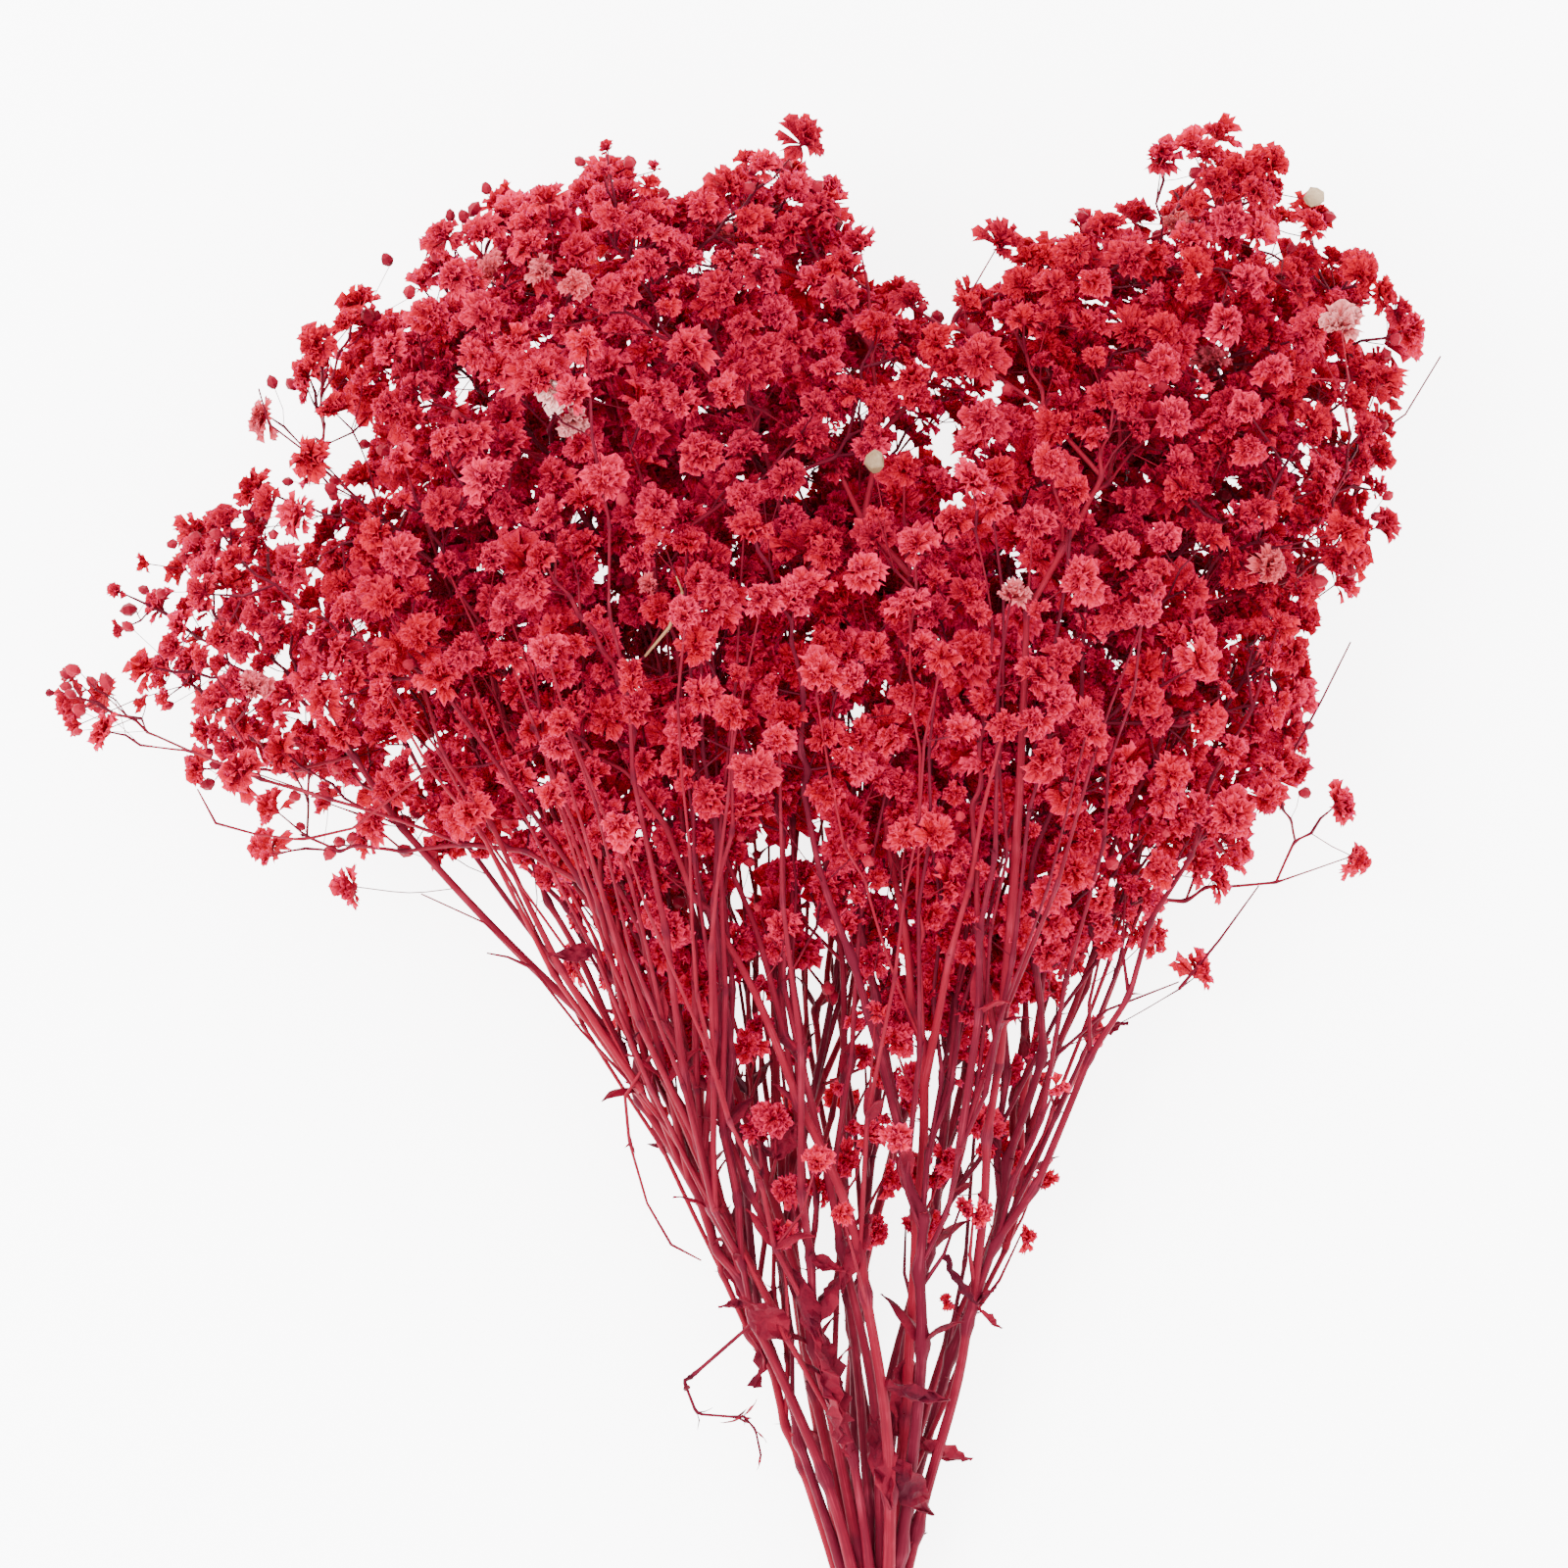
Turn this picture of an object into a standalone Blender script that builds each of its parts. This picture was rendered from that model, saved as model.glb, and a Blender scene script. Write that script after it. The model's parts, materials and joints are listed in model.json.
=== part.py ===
"""A bunch of dried, dyed gypsophila lying on a table, stems to -Y and heads to +Y.

Nineteen cut sprays are packed in a hexagon inside a rubber band and fan out from it.
Lengths are in millimetres until a mesh is made; MM turns them into metres.
"""

import math

import bmesh
import bpy
import numpy as np
from mathutils import Matrix, Vector

MM = 0.001
SEED = 11

# The bundle at the band: one stem in the middle and two rings of stems round it.
RINGS = 2
STEM_RADIUS = 1.75
SLOT_PITCH = 3.74
BAND_HALF = 4.0
BAND_SPAN = 2.6
BAND_THICKNESS = 1.1
BAND_GAP = 0.22

# The cut ends, below the band.
CUT_Y = -62.0
CUT_UNEVEN = 5.0
CUT_FLARE = 0.28
CUT_TWIST = math.radians(-22)

# The fan above the band, measured across the photo where the first forks are.
FORK_Y = 142.0
FAN_WIDE = 6.3
FAN_DEEP = 2.9
FAN_BEND = 1.12
FAN_DRIFT = -0.045
FAN_TWIST = math.radians(70)
FAN_TWIST_Y = 200.0
WANDER = 0.026
STRAIGHT_Y = (14.0, 34.0)
FIRST_JOINT_Y = 62.0
FIRST_FORK_Y = 88.0
LEAD_Y = (215.0, 300.0)
AXIS_RISE = 0.13

# The crown: its outline seen from above, in pixels of a 1600-pixel photo, clockwise.
PIXEL = 0.25
NECK_PIXEL = (893, 1670)
OUTLINE = (
    (46, 700), (108, 600), (172, 540), (238, 492), (300, 470), (246, 410), (290, 368), (350, 300),
    (430, 235), (500, 190), (560, 168), (622, 152), (700, 195), (758, 168), (820, 128), (852, 175),
    (884, 235), (940, 292), (992, 285), (1030, 232), (1100, 222), (1176, 205), (1200, 148),
    (1260, 122), (1312, 168), (1352, 212), (1402, 262), (1452, 328), (1456, 384), (1424, 430),
    (1436, 480), (1432, 532), (1392, 592), (1352, 640), (1342, 700), (1350, 764), (1352, 810),
    (1300, 862), (1244, 892), (1200, 930), (1100, 1000), (1040, 1040), (960, 1062), (900, 1062),
    (820, 1000), (760, 1010), (700, 1050), (640, 1010), (590, 930), (520, 888), (430, 885),
    (350, 880), (260, 840), (180, 790), (84, 750),
)
STRAYS = (
    (1386, 876), (1366, 824), (1226, 1000), (1180, 958), (272, 872), (360, 906), (184, 786),
    (690, 1066), (74, 712), (70, 742), (1000, 1150), (590, 985), (1110, 1060), (812, 1140),
)
CROWN_DEEP = 60.0
CROWN_EDGE = 100.0
CROWN_SWELL = 0.55

# Shoots and blooms.
BLOOM_RADIUS = 6.2
BLOOM_VARY = 0.14
BLOOM_ROOM = 1.18
PETALS = 5
BRANCH_SPACING = 34.0
BLOOM_SPACING = 14.5
BLOOM_COUNT = 372
INTERNODE = 20.0
COLEADER_RADIUS = 1.25
BRANCH_RADIUS = 0.95
TWIG_RADIUS = 0.42
KNOT_SWELL = 1.35
HEAD_COST = 2.2
CLEAR = 0.45
TABLE_CLEAR = 1.0
LEANS = (0.55, 0.2, -0.15)
SHOOT_BEND = 0.45
FEET = ((-104.0, 246.0), (84.0, 262.0))

# The share of its faces that a fused spray keeps, as the union leaves many small ones.
KEPT_FACES = 0.64

# Dried leaves at the lower joints.
LEAF_CHANCE = 0.32
LEAF_LENGTH = 22.0
LEAF_WIDTH = 2.4
LEAF_THICK = 0.7
LEAF_SPREAD = 0.5

STEM_RED = (0.25, 0.006, 0.014, 1.0)
BAND_TAN = (0.52, 0.36, 0.20, 1.0)


def unit(v):
    return v / np.linalg.norm(v)


# Where the bunch may be

def from_photo(pixel):
    return (
        (pixel[0] - NECK_PIXEL[0]) * PIXEL,
        (NECK_PIXEL[1] - pixel[1]) * PIXEL,
    )


CORNERS = np.array([from_photo(p) for p in OUTLINE])


def edge_distance(points):
    """How far inside the outline each point is; outside it the number is negative."""
    a = CORNERS
    b = np.roll(a, -1, axis=0)
    p = np.atleast_2d(points)[:, None, :2]
    along = np.clip(((p - a) * (b - a)).sum(-1) / ((b - a) ** 2).sum(-1), 0, 1)
    far = np.linalg.norm(p - a - along[..., None] * (b - a), axis=-1).min(1)
    x, y = p[..., 0], p[..., 1]
    crosses = (a[:, 1] > y) != (b[:, 1] > y)
    steep = np.where(crosses, b[:, 1] - a[:, 1], 1.0)
    left = x < a[:, 0] + (y - a[:, 1]) / steep * (b[:, 0] - a[:, 0])
    inside = (crosses & left).sum(1) % 2 == 1
    return np.where(inside, far, -far)


def half_depth(inside):
    return CROWN_DEEP * np.clip(inside / CROWN_EDGE, 0.0, 1.0) ** CROWN_SWELL


# The stems' ways

def slots():
    """The places of the stems at the band, in a hexagon."""
    found = []
    for r in range(-RINGS, RINGS + 1):
        for q in range(-RINGS, RINGS + 1):
            if abs(q + r) <= RINGS:
                found.append((SLOT_PITCH * (q + r / 2), SLOT_PITCH * r * math.sqrt(0.75)))
    return found


def twist_at(y):
    if y > 0:
        return FAN_TWIST * min(max(y - BAND_HALF, 0) / FAN_TWIST_Y, 1.0)
    return CUT_TWIST * max(-y - BAND_HALF, 0) / -CUT_Y


def slot_offset(slot, y):
    """How far to the side of the bunch's axis, and above it, the stem of this slot passes."""
    turn = twist_at(y)
    x = slot[0] * math.cos(turn) - slot[1] * math.sin(turn)
    z = slot[0] * math.sin(turn) + slot[1] * math.cos(turn)
    fan = (max(y - BAND_HALF, 0) / (FORK_Y - BAND_HALF)) ** FAN_BEND
    flare = CUT_FLARE * max(-y - BAND_HALF, 0) / -CUT_Y
    return x * (1 + FAN_WIDE * fan + flare), z * (1 + FAN_DEEP * fan + flare)


# The height of the axis at the cut ends, where the lowest stem lies on the table.
AXIS_BASE = STEM_RADIUS - min(slot_offset(slot, CUT_Y)[1] for slot in slots())


def axis_height(y):
    return AXIS_BASE + AXIS_RISE * (y - CUT_Y)


def stem_place(slot, y):
    aside, above = slot_offset(slot, y)
    return np.array((aside + FAN_DRIFT * max(y, 0), y, axis_height(y) + above))


# Room for growth

def segment_gaps(p, q, a, b):
    """The least distance from the segment pq to each segment ab."""
    d, e = q - p, b - a
    r = p - a
    dd = max(d @ d, 1e-9)
    ee = np.maximum((e * e).sum(1), 1e-9)
    de, er, dr = e @ d, (e * r).sum(1), r @ d
    flat = dd * ee - de * de
    s = np.clip((de * er - dr * ee) / np.where(flat > 1e-9, flat, 1.0), 0, 1)
    t = np.clip((de * s + er) / ee, 0, 1)
    s = np.clip((de * t - dr) / dd, 0, 1)
    return np.linalg.norm(r + s[:, None] * d - t[:, None] * e, axis=1)


class Growth:
    """The shoots and blooms so far, the room they take, and the joints that can fork."""

    def __init__(self):
        self.shoots = []
        self.a = np.zeros((0, 3))
        self.b = np.zeros((0, 3))
        self.radius = np.zeros(0)
        self.spray = np.zeros(0, int)
        self.ball = np.zeros((0, 3))
        self.ball_radius = np.zeros(0)
        self.ball_spray = np.zeros(0, int)
        self.joint = np.zeros((0, 3))
        self.joint_way = np.zeros((0, 3))
        self.joint_spray = np.zeros(0, int)
        self.joint_level = np.zeros(0, int)
        self.joint_room = np.zeros(0, int)

    def clear(self, points, radius, spray, ball, ball_radius):
        """Whether the shoot and its bloom miss the table and all else, but for their own joint."""
        if points[:, 2].min() < radius + TABLE_CLEAR or ball[2] < ball_radius + TABLE_CLEAR:
            return False
        root = points[0]
        away = segment_gaps(root, root + 1e-3, self.a, self.b) > 2.5
        other = (self.spray != spray) | away
        a, b, thick = self.a[other], self.b[other], self.radius[other]
        for p, q in zip(points, points[1:]):
            if len(a) and (segment_gaps(p, q, a, b) - thick).min() < radius + CLEAR:
                return False
        if len(a) and (segment_gaps(ball, ball + 1e-3, a, b) - thick).min() < ball_radius + CLEAR:
            return False
        if not len(self.ball):
            return True
        if (np.linalg.norm(self.ball - ball, axis=1) - self.ball_radius).min() < ball_radius + CLEAR:
            return False
        for p, q in zip(points, points[1:]):
            gaps = segment_gaps(p, q, self.ball, self.ball + 1e-3) - self.ball_radius
            if gaps.min() < radius + CLEAR:
                return False
        return True

    def add(self, points, radius, spray, level, rooms, bloom=0.0):
        """Keeps a shoot; rooms gives how many shoots may fork from each of its points."""
        way = unit(points[-1] - points[-2])
        self.shoots.append({
            "points": points, "radius": radius, "spray": spray, "level": level,
            "bloom": bloom, "way": way, "forks": np.zeros(len(points), int),
        })
        count = len(points) - 1
        self.a = np.vstack((self.a, points[:-1]))
        self.b = np.vstack((self.b, points[1:]))
        self.radius = np.append(self.radius, np.full(count, radius))
        self.spray = np.append(self.spray, np.full(count, spray))
        if bloom:
            self.ball = np.vstack((self.ball, points[-1] + way * bloom * 0.4))
            self.ball_radius = np.append(self.ball_radius, bloom * BLOOM_ROOM)
            self.ball_spray = np.append(self.ball_spray, spray)
        for k in range(1, len(points) - 1):
            if rooms[k]:
                self.joint = np.vstack((self.joint, points[k]))
                self.joint_way = np.vstack((self.joint_way, unit(points[k] - points[k - 1])))
                self.joint_spray = np.append(self.joint_spray, spray)
                self.joint_level = np.append(self.joint_level, level)
                self.joint_room = np.append(self.joint_room, rooms[k])

    def reach(self, goal, bloom, radius, longest, random, tries=14, widest=62.0, only=True):
        """Grows a shoot to the goal from the best joint that has a clear way."""
        away = goal - self.joint
        length = np.linalg.norm(away, axis=1)
        along = (away * self.joint_way).sum(1) / length
        fits = (self.joint_room > 0) & (length > 7.0) & (length < longest) & only
        fits &= along > math.cos(math.radians(widest))
        heads = np.bincount(self.ball_spray, minlength=self.spray.max() + 1)[self.joint_spray]
        cost = length * (1.6 - 0.6 * along) + HEAD_COST * heads + np.where(fits, 0.0, 1e6)
        for k in np.argsort(cost)[:tries]:
            if not fits[k]:
                return False
            start, straight, main = self.joint[k], away[k] / length[k], self.joint_way[k]
            outward = straight - main * (straight @ main)
            for lean in LEANS:
                leave = unit(straight + outward * lean + random.normal(0, 0.05, 3))
                count = max(2, round(length[k] / INTERNODE))
                middle = start + leave * length[k] * SHOOT_BEND
                t = np.linspace(0, 1, count + 1)[:, None]
                points = (1 - t) ** 2 * start + 2 * t * (1 - t) * middle + t * t * goal
                way = unit(points[-1] - points[-2])
                ball = goal + way * bloom * 0.4
                spray = self.joint_spray[k]
                if self.clear(points, radius, spray, ball, max(bloom * BLOOM_ROOM, radius)):
                    rooms = np.full(count + 1, 2 if self.joint_level[k] == 0 else 1)
                    self.joint_room[k] -= 1
                    self.add(points, radius, spray, self.joint_level[k] + 1, rooms, bloom)
                    return True
        return False


SOLE = BLOOM_RADIUS * BLOOM_ROOM + TABLE_CLEAR + 0.01


def main_stems(growth, random):
    """One leading stem from each slot, from its cut end to a bloom in the crown."""
    for number, slot in enumerate(slots()):
        cut = CUT_Y + random.uniform(-CUT_UNEVEN, CUT_UNEVEN) * (slot[1] > -SLOT_PITCH)
        heights = [cut, -BAND_HALF, BAND_HALF, *STRAIGHT_Y]
        y = FIRST_JOINT_Y + random.uniform(-8, 8)
        drift = random.normal(0, 1, 2) * WANDER
        points = [stem_place(slot, h) for h in heights]
        while True:
            drift = 0.6 * drift + random.normal(0, 1, 2) * WANDER * 0.7
            sway = np.clip(drift, -1.4 * WANDER, 1.4 * WANDER) * (y - STRAIGHT_Y[1])
            place = stem_place(slot, y) + np.array((sway[0], 0.0, sway[1]))
            place[2] = max(place[2], min(SOLE, 0.05 * y + 2.0))
            inside = edge_distance(place)[0]
            if y > LEAD_Y[0] and (inside < 17.0 or y > LEAD_Y[1]):
                break
            points.append(place)
            y += random.uniform(24, 33)
        points = np.array(points)
        rooms = np.where(points[:, 1] > FIRST_FORK_Y, 3, 0)
        growth.add(points, STEM_RADIUS * 0.92, number, 0, rooms, BLOOM_RADIUS)


def outline_goals(random):
    """Blooms at every corner of the crown's outline, and the strays outside it."""
    heart = np.array((-30.0, 250.0))
    goals = []
    for corner in CORNERS:
        inward = unit(heart - corner)
        place = corner + inward * BLOOM_RADIUS * 1.05
        height = axis_height(place[1]) * 0.95 + random.uniform(-12, 12)
        goals.append(np.array((*place, height)))
    for stray in STRAYS:
        place = np.array(from_photo(stray))
        goals.append(np.array((*place, axis_height(place[1]) * 0.95 + random.uniform(-9, 9))))
    return goals


def crown_goals(random, count, spacing, taken):
    """Seeded places spread evenly through the crown, no two nearer than the spacing."""
    low, high = CORNERS.min(0), CORNERS.max(0)
    goals, misses = [], 0
    while len(goals) < count and misses < 6000:
        place = random.uniform(low, high)
        inside = edge_distance(place)[0]
        sparse = place[1] < 205.0
        if inside < BLOOM_RADIUS * 0.9 or (sparse and random.random() < 0.62):
            continue
        deep = half_depth(inside)
        middle = axis_height(place[1])
        floor = BLOOM_RADIUS * BLOOM_ROOM + TABLE_CLEAR + 0.5
        z = random.uniform(max(middle - deep, floor), middle + deep)
        goal = np.array((*place, z))
        near = [g for g in taken + goals if abs(g[0] - goal[0]) < spacing]
        if near and np.linalg.norm(np.array(near) - goal, axis=1).min() < spacing:
            misses += 1
            continue
        misses = 0
        goals.append(goal)
    return goals


def reach_near(growth, goal, radius, longest, random):
    """Grows a shoot to the goal, or to a place beside it where the way there is clear."""
    size = BLOOM_RADIUS * random.uniform(1 - BLOOM_VARY, 1 + BLOOM_VARY)
    for attempt in range(6):
        near = goal + random.normal(0, 1, 3) * (1.0, 1.0, 3.0) * attempt * 1.6
        if edge_distance(near)[0] < min(edge_distance(goal)[0], BLOOM_RADIUS):
            continue
        if growth.reach(near, size, radius, longest, random):
            return True
    return growth.reach(goal, size * 0.9, TWIG_RADIUS, longest * 1.3, random, 60, 88.0)


def coleaders(growth, random):
    """Beside each leading stem a second one forks from it low down, as the plant divides in two."""
    for lead in [shoot["points"][-1] for shoot in growth.shoots]:
        low = growth.joint[:, 1] < FORK_Y + 16
        for _ in range(8):
            aside = random.choice((-1, 1)) * random.uniform(24, 44)
            goal = lead + (aside, random.uniform(-50, -10), random.normal(0, 14))
            inside = edge_distance(goal)[0]
            top = axis_height(goal[1]) + half_depth(inside)
            goal[2] = max(min(goal[2], top), SOLE + 2)
            if inside > 12 and growth.reach(
                goal, BLOOM_RADIUS, COLEADER_RADIUS, 230.0, random, 5, 40.0, low
            ):
                break


def grow():
    """The whole bunch as shoots, nearest goals first so that later ones fork from them."""
    random = np.random.default_rng(SEED)
    growth = Growth()
    main_stems(growth, random)
    taken = [shoot["points"][-1] for shoot in growth.shoots]
    coleaders(growth, random)
    for x, y in FEET:
        foot = np.array((x, y, SOLE))
        if growth.reach(foot, BLOOM_RADIUS, BRANCH_RADIUS, 200.0, random, 60, 88.0):
            growth.shoots[-1]["foot"] = True
        taken.append(foot)
    edges = outline_goals(random)
    wanted = edges + crown_goals(random, 400, BRANCH_SPACING, taken)
    for goal in sorted(wanted, key=np.linalg.norm):
        reach_near(growth, goal, BRANCH_RADIUS, 150.0, random)
    count = BLOOM_COUNT - len(growth.shoots)
    more = crown_goals(random, count, BLOOM_SPACING, taken + wanted)
    for goal in sorted(more, key=np.linalg.norm):
        reach_near(growth, goal, TWIG_RADIUS, 60.0, random)
    return growth


# Meshes

def open_edges(ring):
    inside = set(ring)
    edges = {edge for v in ring for edge in v.link_edges}
    return [e for e in edges if set(e.verts) <= inside and len(e.link_faces) < 2]


def add_ring(bm, centre, way, wide, high, sides, turn=0.0, cap=False):
    """A ring of points square to the way; the centre point of a capped ring comes last."""
    axis = Vector(way)
    across = Vector((0, 0, 1)).cross(axis)
    if across.length < 0.05:
        across = Vector((1, 0, 0))
    across.normalize()
    up = axis.cross(across).normalized()
    frame = Matrix((across * wide, up * high, axis)).transposed().to_4x4()
    frame.translation = Vector(centre)
    place = Matrix.Scale(MM, 4) @ frame @ Matrix.Rotation(turn, 4, "Z")
    made = bmesh.ops.create_circle(
        bm, cap_ends=cap, cap_tris=cap, segments=sides, radius=1.0, matrix=place
    )["verts"]
    if cap:
        middle = place.translation
        made = sorted(made, key=lambda v: (v.co - middle).length < 1e-7)
    return made


def join_rings(bm, first, second):
    bmesh.ops.bridge_loops(bm, edges=open_edges(first) + open_edges(second))


def object_of(bm, name, collection):
    bmesh.ops.triangulate(bm, faces=bm.faces)
    bmesh.ops.recalc_face_normals(bm, faces=bm.faces)
    mesh = bpy.data.meshes.new(name)
    bm.to_mesh(mesh)
    bm.free()
    made = bpy.data.objects.new(name, mesh)
    collection.objects.link(made)
    return made


def bloom_head(bm, last, centre, way, size, random, floor=None):
    """A ruffled cup: petal tips and notches in a ring, over the calyx, round a raised middle."""
    tilt = unit(way + np.clip(random.normal(0, 0.14, 3), -0.24, 0.24))
    rim = centre + tilt * size * 0.42
    ring = add_ring(bm, rim, tilt, size, size, 2 * PETALS, random.uniform(0, 6.28), True)
    axis, middle = Vector(tilt), Vector(rim) * MM
    for k, point in enumerate(ring[:-1]):
        out = point.co - middle
        if k % 2:
            point.co = middle + out * random.uniform(0.60, 0.72)
            point.co += axis * size * MM * random.uniform(0.30, 0.55)
        else:
            point.co = middle + out * random.uniform(0.90, 1.10)
            point.co += axis * size * MM * random.uniform(-0.34, 0.10)
    ring[-1].co += axis * size * MM * random.uniform(0.50, 0.72)
    join_rings(bm, last, ring)
    if floor is not None:
        drop = Vector((0, 0, floor * MM - min(v.co.z for v in ring)))
        for point in ring:
            point.co += drop


def shoot_object(shoot, name, collection, random):
    """A tapered stalk swollen at its joints, with its bloom at the end."""
    bm = bmesh.new()
    points, level = shoot["points"], shoot["level"]
    last = len(points) - 1
    thick = STEM_RADIUS if level == 0 else shoot["stalk"]
    rings = []
    for k, place in enumerate(points):
        way = unit(points[min(k + 1, last)] - points[max(k - 1, 0)])
        share = k / last
        if level == 0:
            sides = 6 if place[1] < 150.0 else 4
            past = max(place[1] - 34.0, 0.0) / 240.0
            radius = STEM_RADIUS * (1 - 0.62 * min(past, 1.0))
            turn = twist_at(place[1])
        else:
            sides = 4 if thick > 0.62 else 3
            radius = thick * (1 - 0.3 * share)
            turn = 0.0
        if k == last:
            sides, radius = 3, max(min(radius, 0.8), TWIG_RADIUS)
        elif shoot["forks"][k] and level == 0 and place[1] < 190.0:
            radius *= KNOT_SWELL
        if k == 0 and level:
            place = place - way * radius * 0.2
        rings.append(add_ring(bm, place, way, radius, radius, sides, turn))
    for first, second in zip(rings, rings[1:]):
        join_rings(bm, first, second)
    bmesh.ops.contextual_create(bm, geom=open_edges(rings[0]))
    floor = 0.0 if shoot.get("foot") else None
    bloom_head(bm, rings[-1], points[-1], shoot["way"], shoot["bloom"], random, floor)
    return object_of(bm, name, collection)


def leaf_object(base, way, out, length, name, collection):
    """A dried lance-shaped leaf that clasps the joint and bends back."""
    bm = bmesh.new()
    rings = []
    for share, wide in ((0.0, 0.55), (0.4, 1.0), (1.0, 0.16)):
        along = unit(way * (1.0 - 0.55 * share) + out * (0.45 + 0.6 * share))
        place = base + unit(way + out * LEAF_SPREAD) * length * share + out * length * 0.12 * share ** 2
        thick = LEAF_THICK * (0.5 if share < 1 else 0.42)
        rings.append(add_ring(bm, place, along, LEAF_WIDTH * wide, thick, 4))
    for first, second in zip(rings, rings[1:]):
        join_rings(bm, first, second)
    for ring in (rings[0], rings[-1]):
        bmesh.ops.contextual_create(bm, geom=open_edges(ring))
    return object_of(bm, name, collection)


def share_forks(growth):
    """Counts the shoots that leave each joint, and thickens the stalks that carry more."""
    for shoot in growth.shoots:
        shoot["load"] = 1
    for shoot in reversed(growth.shoots):
        if shoot["level"] == 0:
            continue
        start = shoot["points"][0]
        for parent in growth.shoots:
            if parent["spray"] != shoot["spray"] or parent is shoot:
                continue
            apart = np.linalg.norm(parent["points"][1:-1] - start, axis=1)
            if len(apart) and apart.min() < 1e-6:
                parent["forks"][1 + apart.argmin()] += 1
                parent["load"] += shoot["load"]
                break
    for shoot in growth.shoots:
        carried = TWIG_RADIUS * shoot["load"] ** 0.42
        if shoot["radius"] > BRANCH_RADIUS:
            carried *= 1.3
        shoot["stalk"] = min(carried, shoot["radius"])


def fuse(name, pieces, collection, material):
    """One Boolean union of all the pieces of a node, applied."""
    body, rest = pieces[0], pieces[1:]
    body.name = name
    body.data.materials.append(material)
    if not rest:
        return body
    repeats = bpy.data.collections.new(name + "_repeats")
    bpy.context.scene.collection.children.link(repeats)
    for piece in rest:
        collection.objects.unlink(piece)
        repeats.objects.link(piece)
    union = body.modifiers.new("union", "BOOLEAN")
    union.operation = "UNION"
    union.operand_type = "COLLECTION"
    union.collection = repeats
    union.solver = "MANIFOLD"
    bpy.context.view_layer.update()
    graph = bpy.context.evaluated_depsgraph_get()
    fused = bpy.data.meshes.new_from_object(body.evaluated_get(graph))
    body.modifiers.clear()
    body.data = fused
    fewer = body.modifiers.new("fewer", "DECIMATE")
    fewer.ratio = KEPT_FACES
    graph = bpy.context.evaluated_depsgraph_get()
    mesh = bpy.data.meshes.new_from_object(body.evaluated_get(graph))
    body.modifiers.clear()
    body.data = mesh
    for piece in rest:
        bpy.data.objects.remove(piece)
    bpy.data.collections.remove(repeats)
    return body


def make_spray(number, growth, collection, material, random):
    own = [s for s in growth.shoots if s["spray"] == number]
    own.sort(key=lambda s: s["level"])
    pieces = [shoot_object(s, f"piece_{k}", collection, random) for k, s in enumerate(own)]
    lead = own[0]
    for k in range(5, len(lead["points"]) - 2):
        place = lead["points"][k]
        if place[1] > 150.0 or k > 7:
            break
        way = unit(lead["points"][k + 1] - lead["points"][k - 1])
        for side in (-1, 1):
            if random.random() > LEAF_CHANCE:
                continue
            turn = random.uniform(-0.5, 0.5)
            flat = unit(np.array((math.cos(turn) * side, 0.0, math.sin(turn))))
            out = unit(flat - way * (flat @ way))
            length = LEAF_LENGTH * random.uniform(0.45, 1.0)
            tip = place + unit(way + out * LEAF_SPREAD) * length * 1.1
            path = np.array((place, (place + tip) / 2, tip))
            if growth.clear(path, LEAF_WIDTH * 1.05, number, tip, 1.0):
                growth.add(path, LEAF_WIDTH * 1.05, number, 9, (0, 0, 0))
                pieces.append(leaf_object(place - way * 0.3, way, out, length, "leaf", collection))
    return fuse(f"spray_{number + 1:02d}", pieces, collection, material)


def make_band(collection, material):
    """A plain rubber band drawn round the six corner stems."""
    bm = bmesh.new()
    inner = STEM_RADIUS + BAND_GAP
    row = []
    for corner in range(6):
        side = math.radians(60 * corner)
        for step in (-30, -10, 10, 30):
            turn = side + math.radians(step)
            x = RINGS * SLOT_PITCH * math.cos(side) + inner * math.cos(turn)
            z = RINGS * SLOT_PITCH * math.sin(side) + inner * math.sin(turn)
            row.append(bm.verts.new(Vector((x, -BAND_SPAN, z + axis_height(-BAND_SPAN))) * MM))
    edges = [bm.edges.new((point, row[k - 1])) for k, point in enumerate(row)]
    wall = bmesh.ops.extrude_edge_only(bm, edges=edges)["geom"]
    moved = [v for v in wall if isinstance(v, bmesh.types.BMVert)]
    bmesh.ops.translate(bm, verts=moved, vec=Vector((0, 1, AXIS_RISE)) * 2 * BAND_SPAN * MM)
    bmesh.ops.recalc_face_normals(bm, faces=bm.faces)
    mesh = bpy.data.meshes.new("rubber_band")
    bm.to_mesh(mesh)
    bm.free()
    band = bpy.data.objects.new("rubber_band", mesh)
    collection.objects.link(band)
    thicken = band.modifiers.new("thickness", "SOLIDIFY")
    thicken.thickness = BAND_THICKNESS * MM
    thicken.offset = 1.0
    thicken.use_even_offset = True
    mesh.materials.append(material)
    return band


def plain_material(name, colour, roughness):
    material = bpy.data.materials.new(name)
    material.use_nodes = True
    shader = material.node_tree.nodes["Principled BSDF"]
    shader.inputs["Base Color"].default_value = colour
    shader.inputs["Roughness"].default_value = roughness
    material.diffuse_color = colour
    return material


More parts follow.
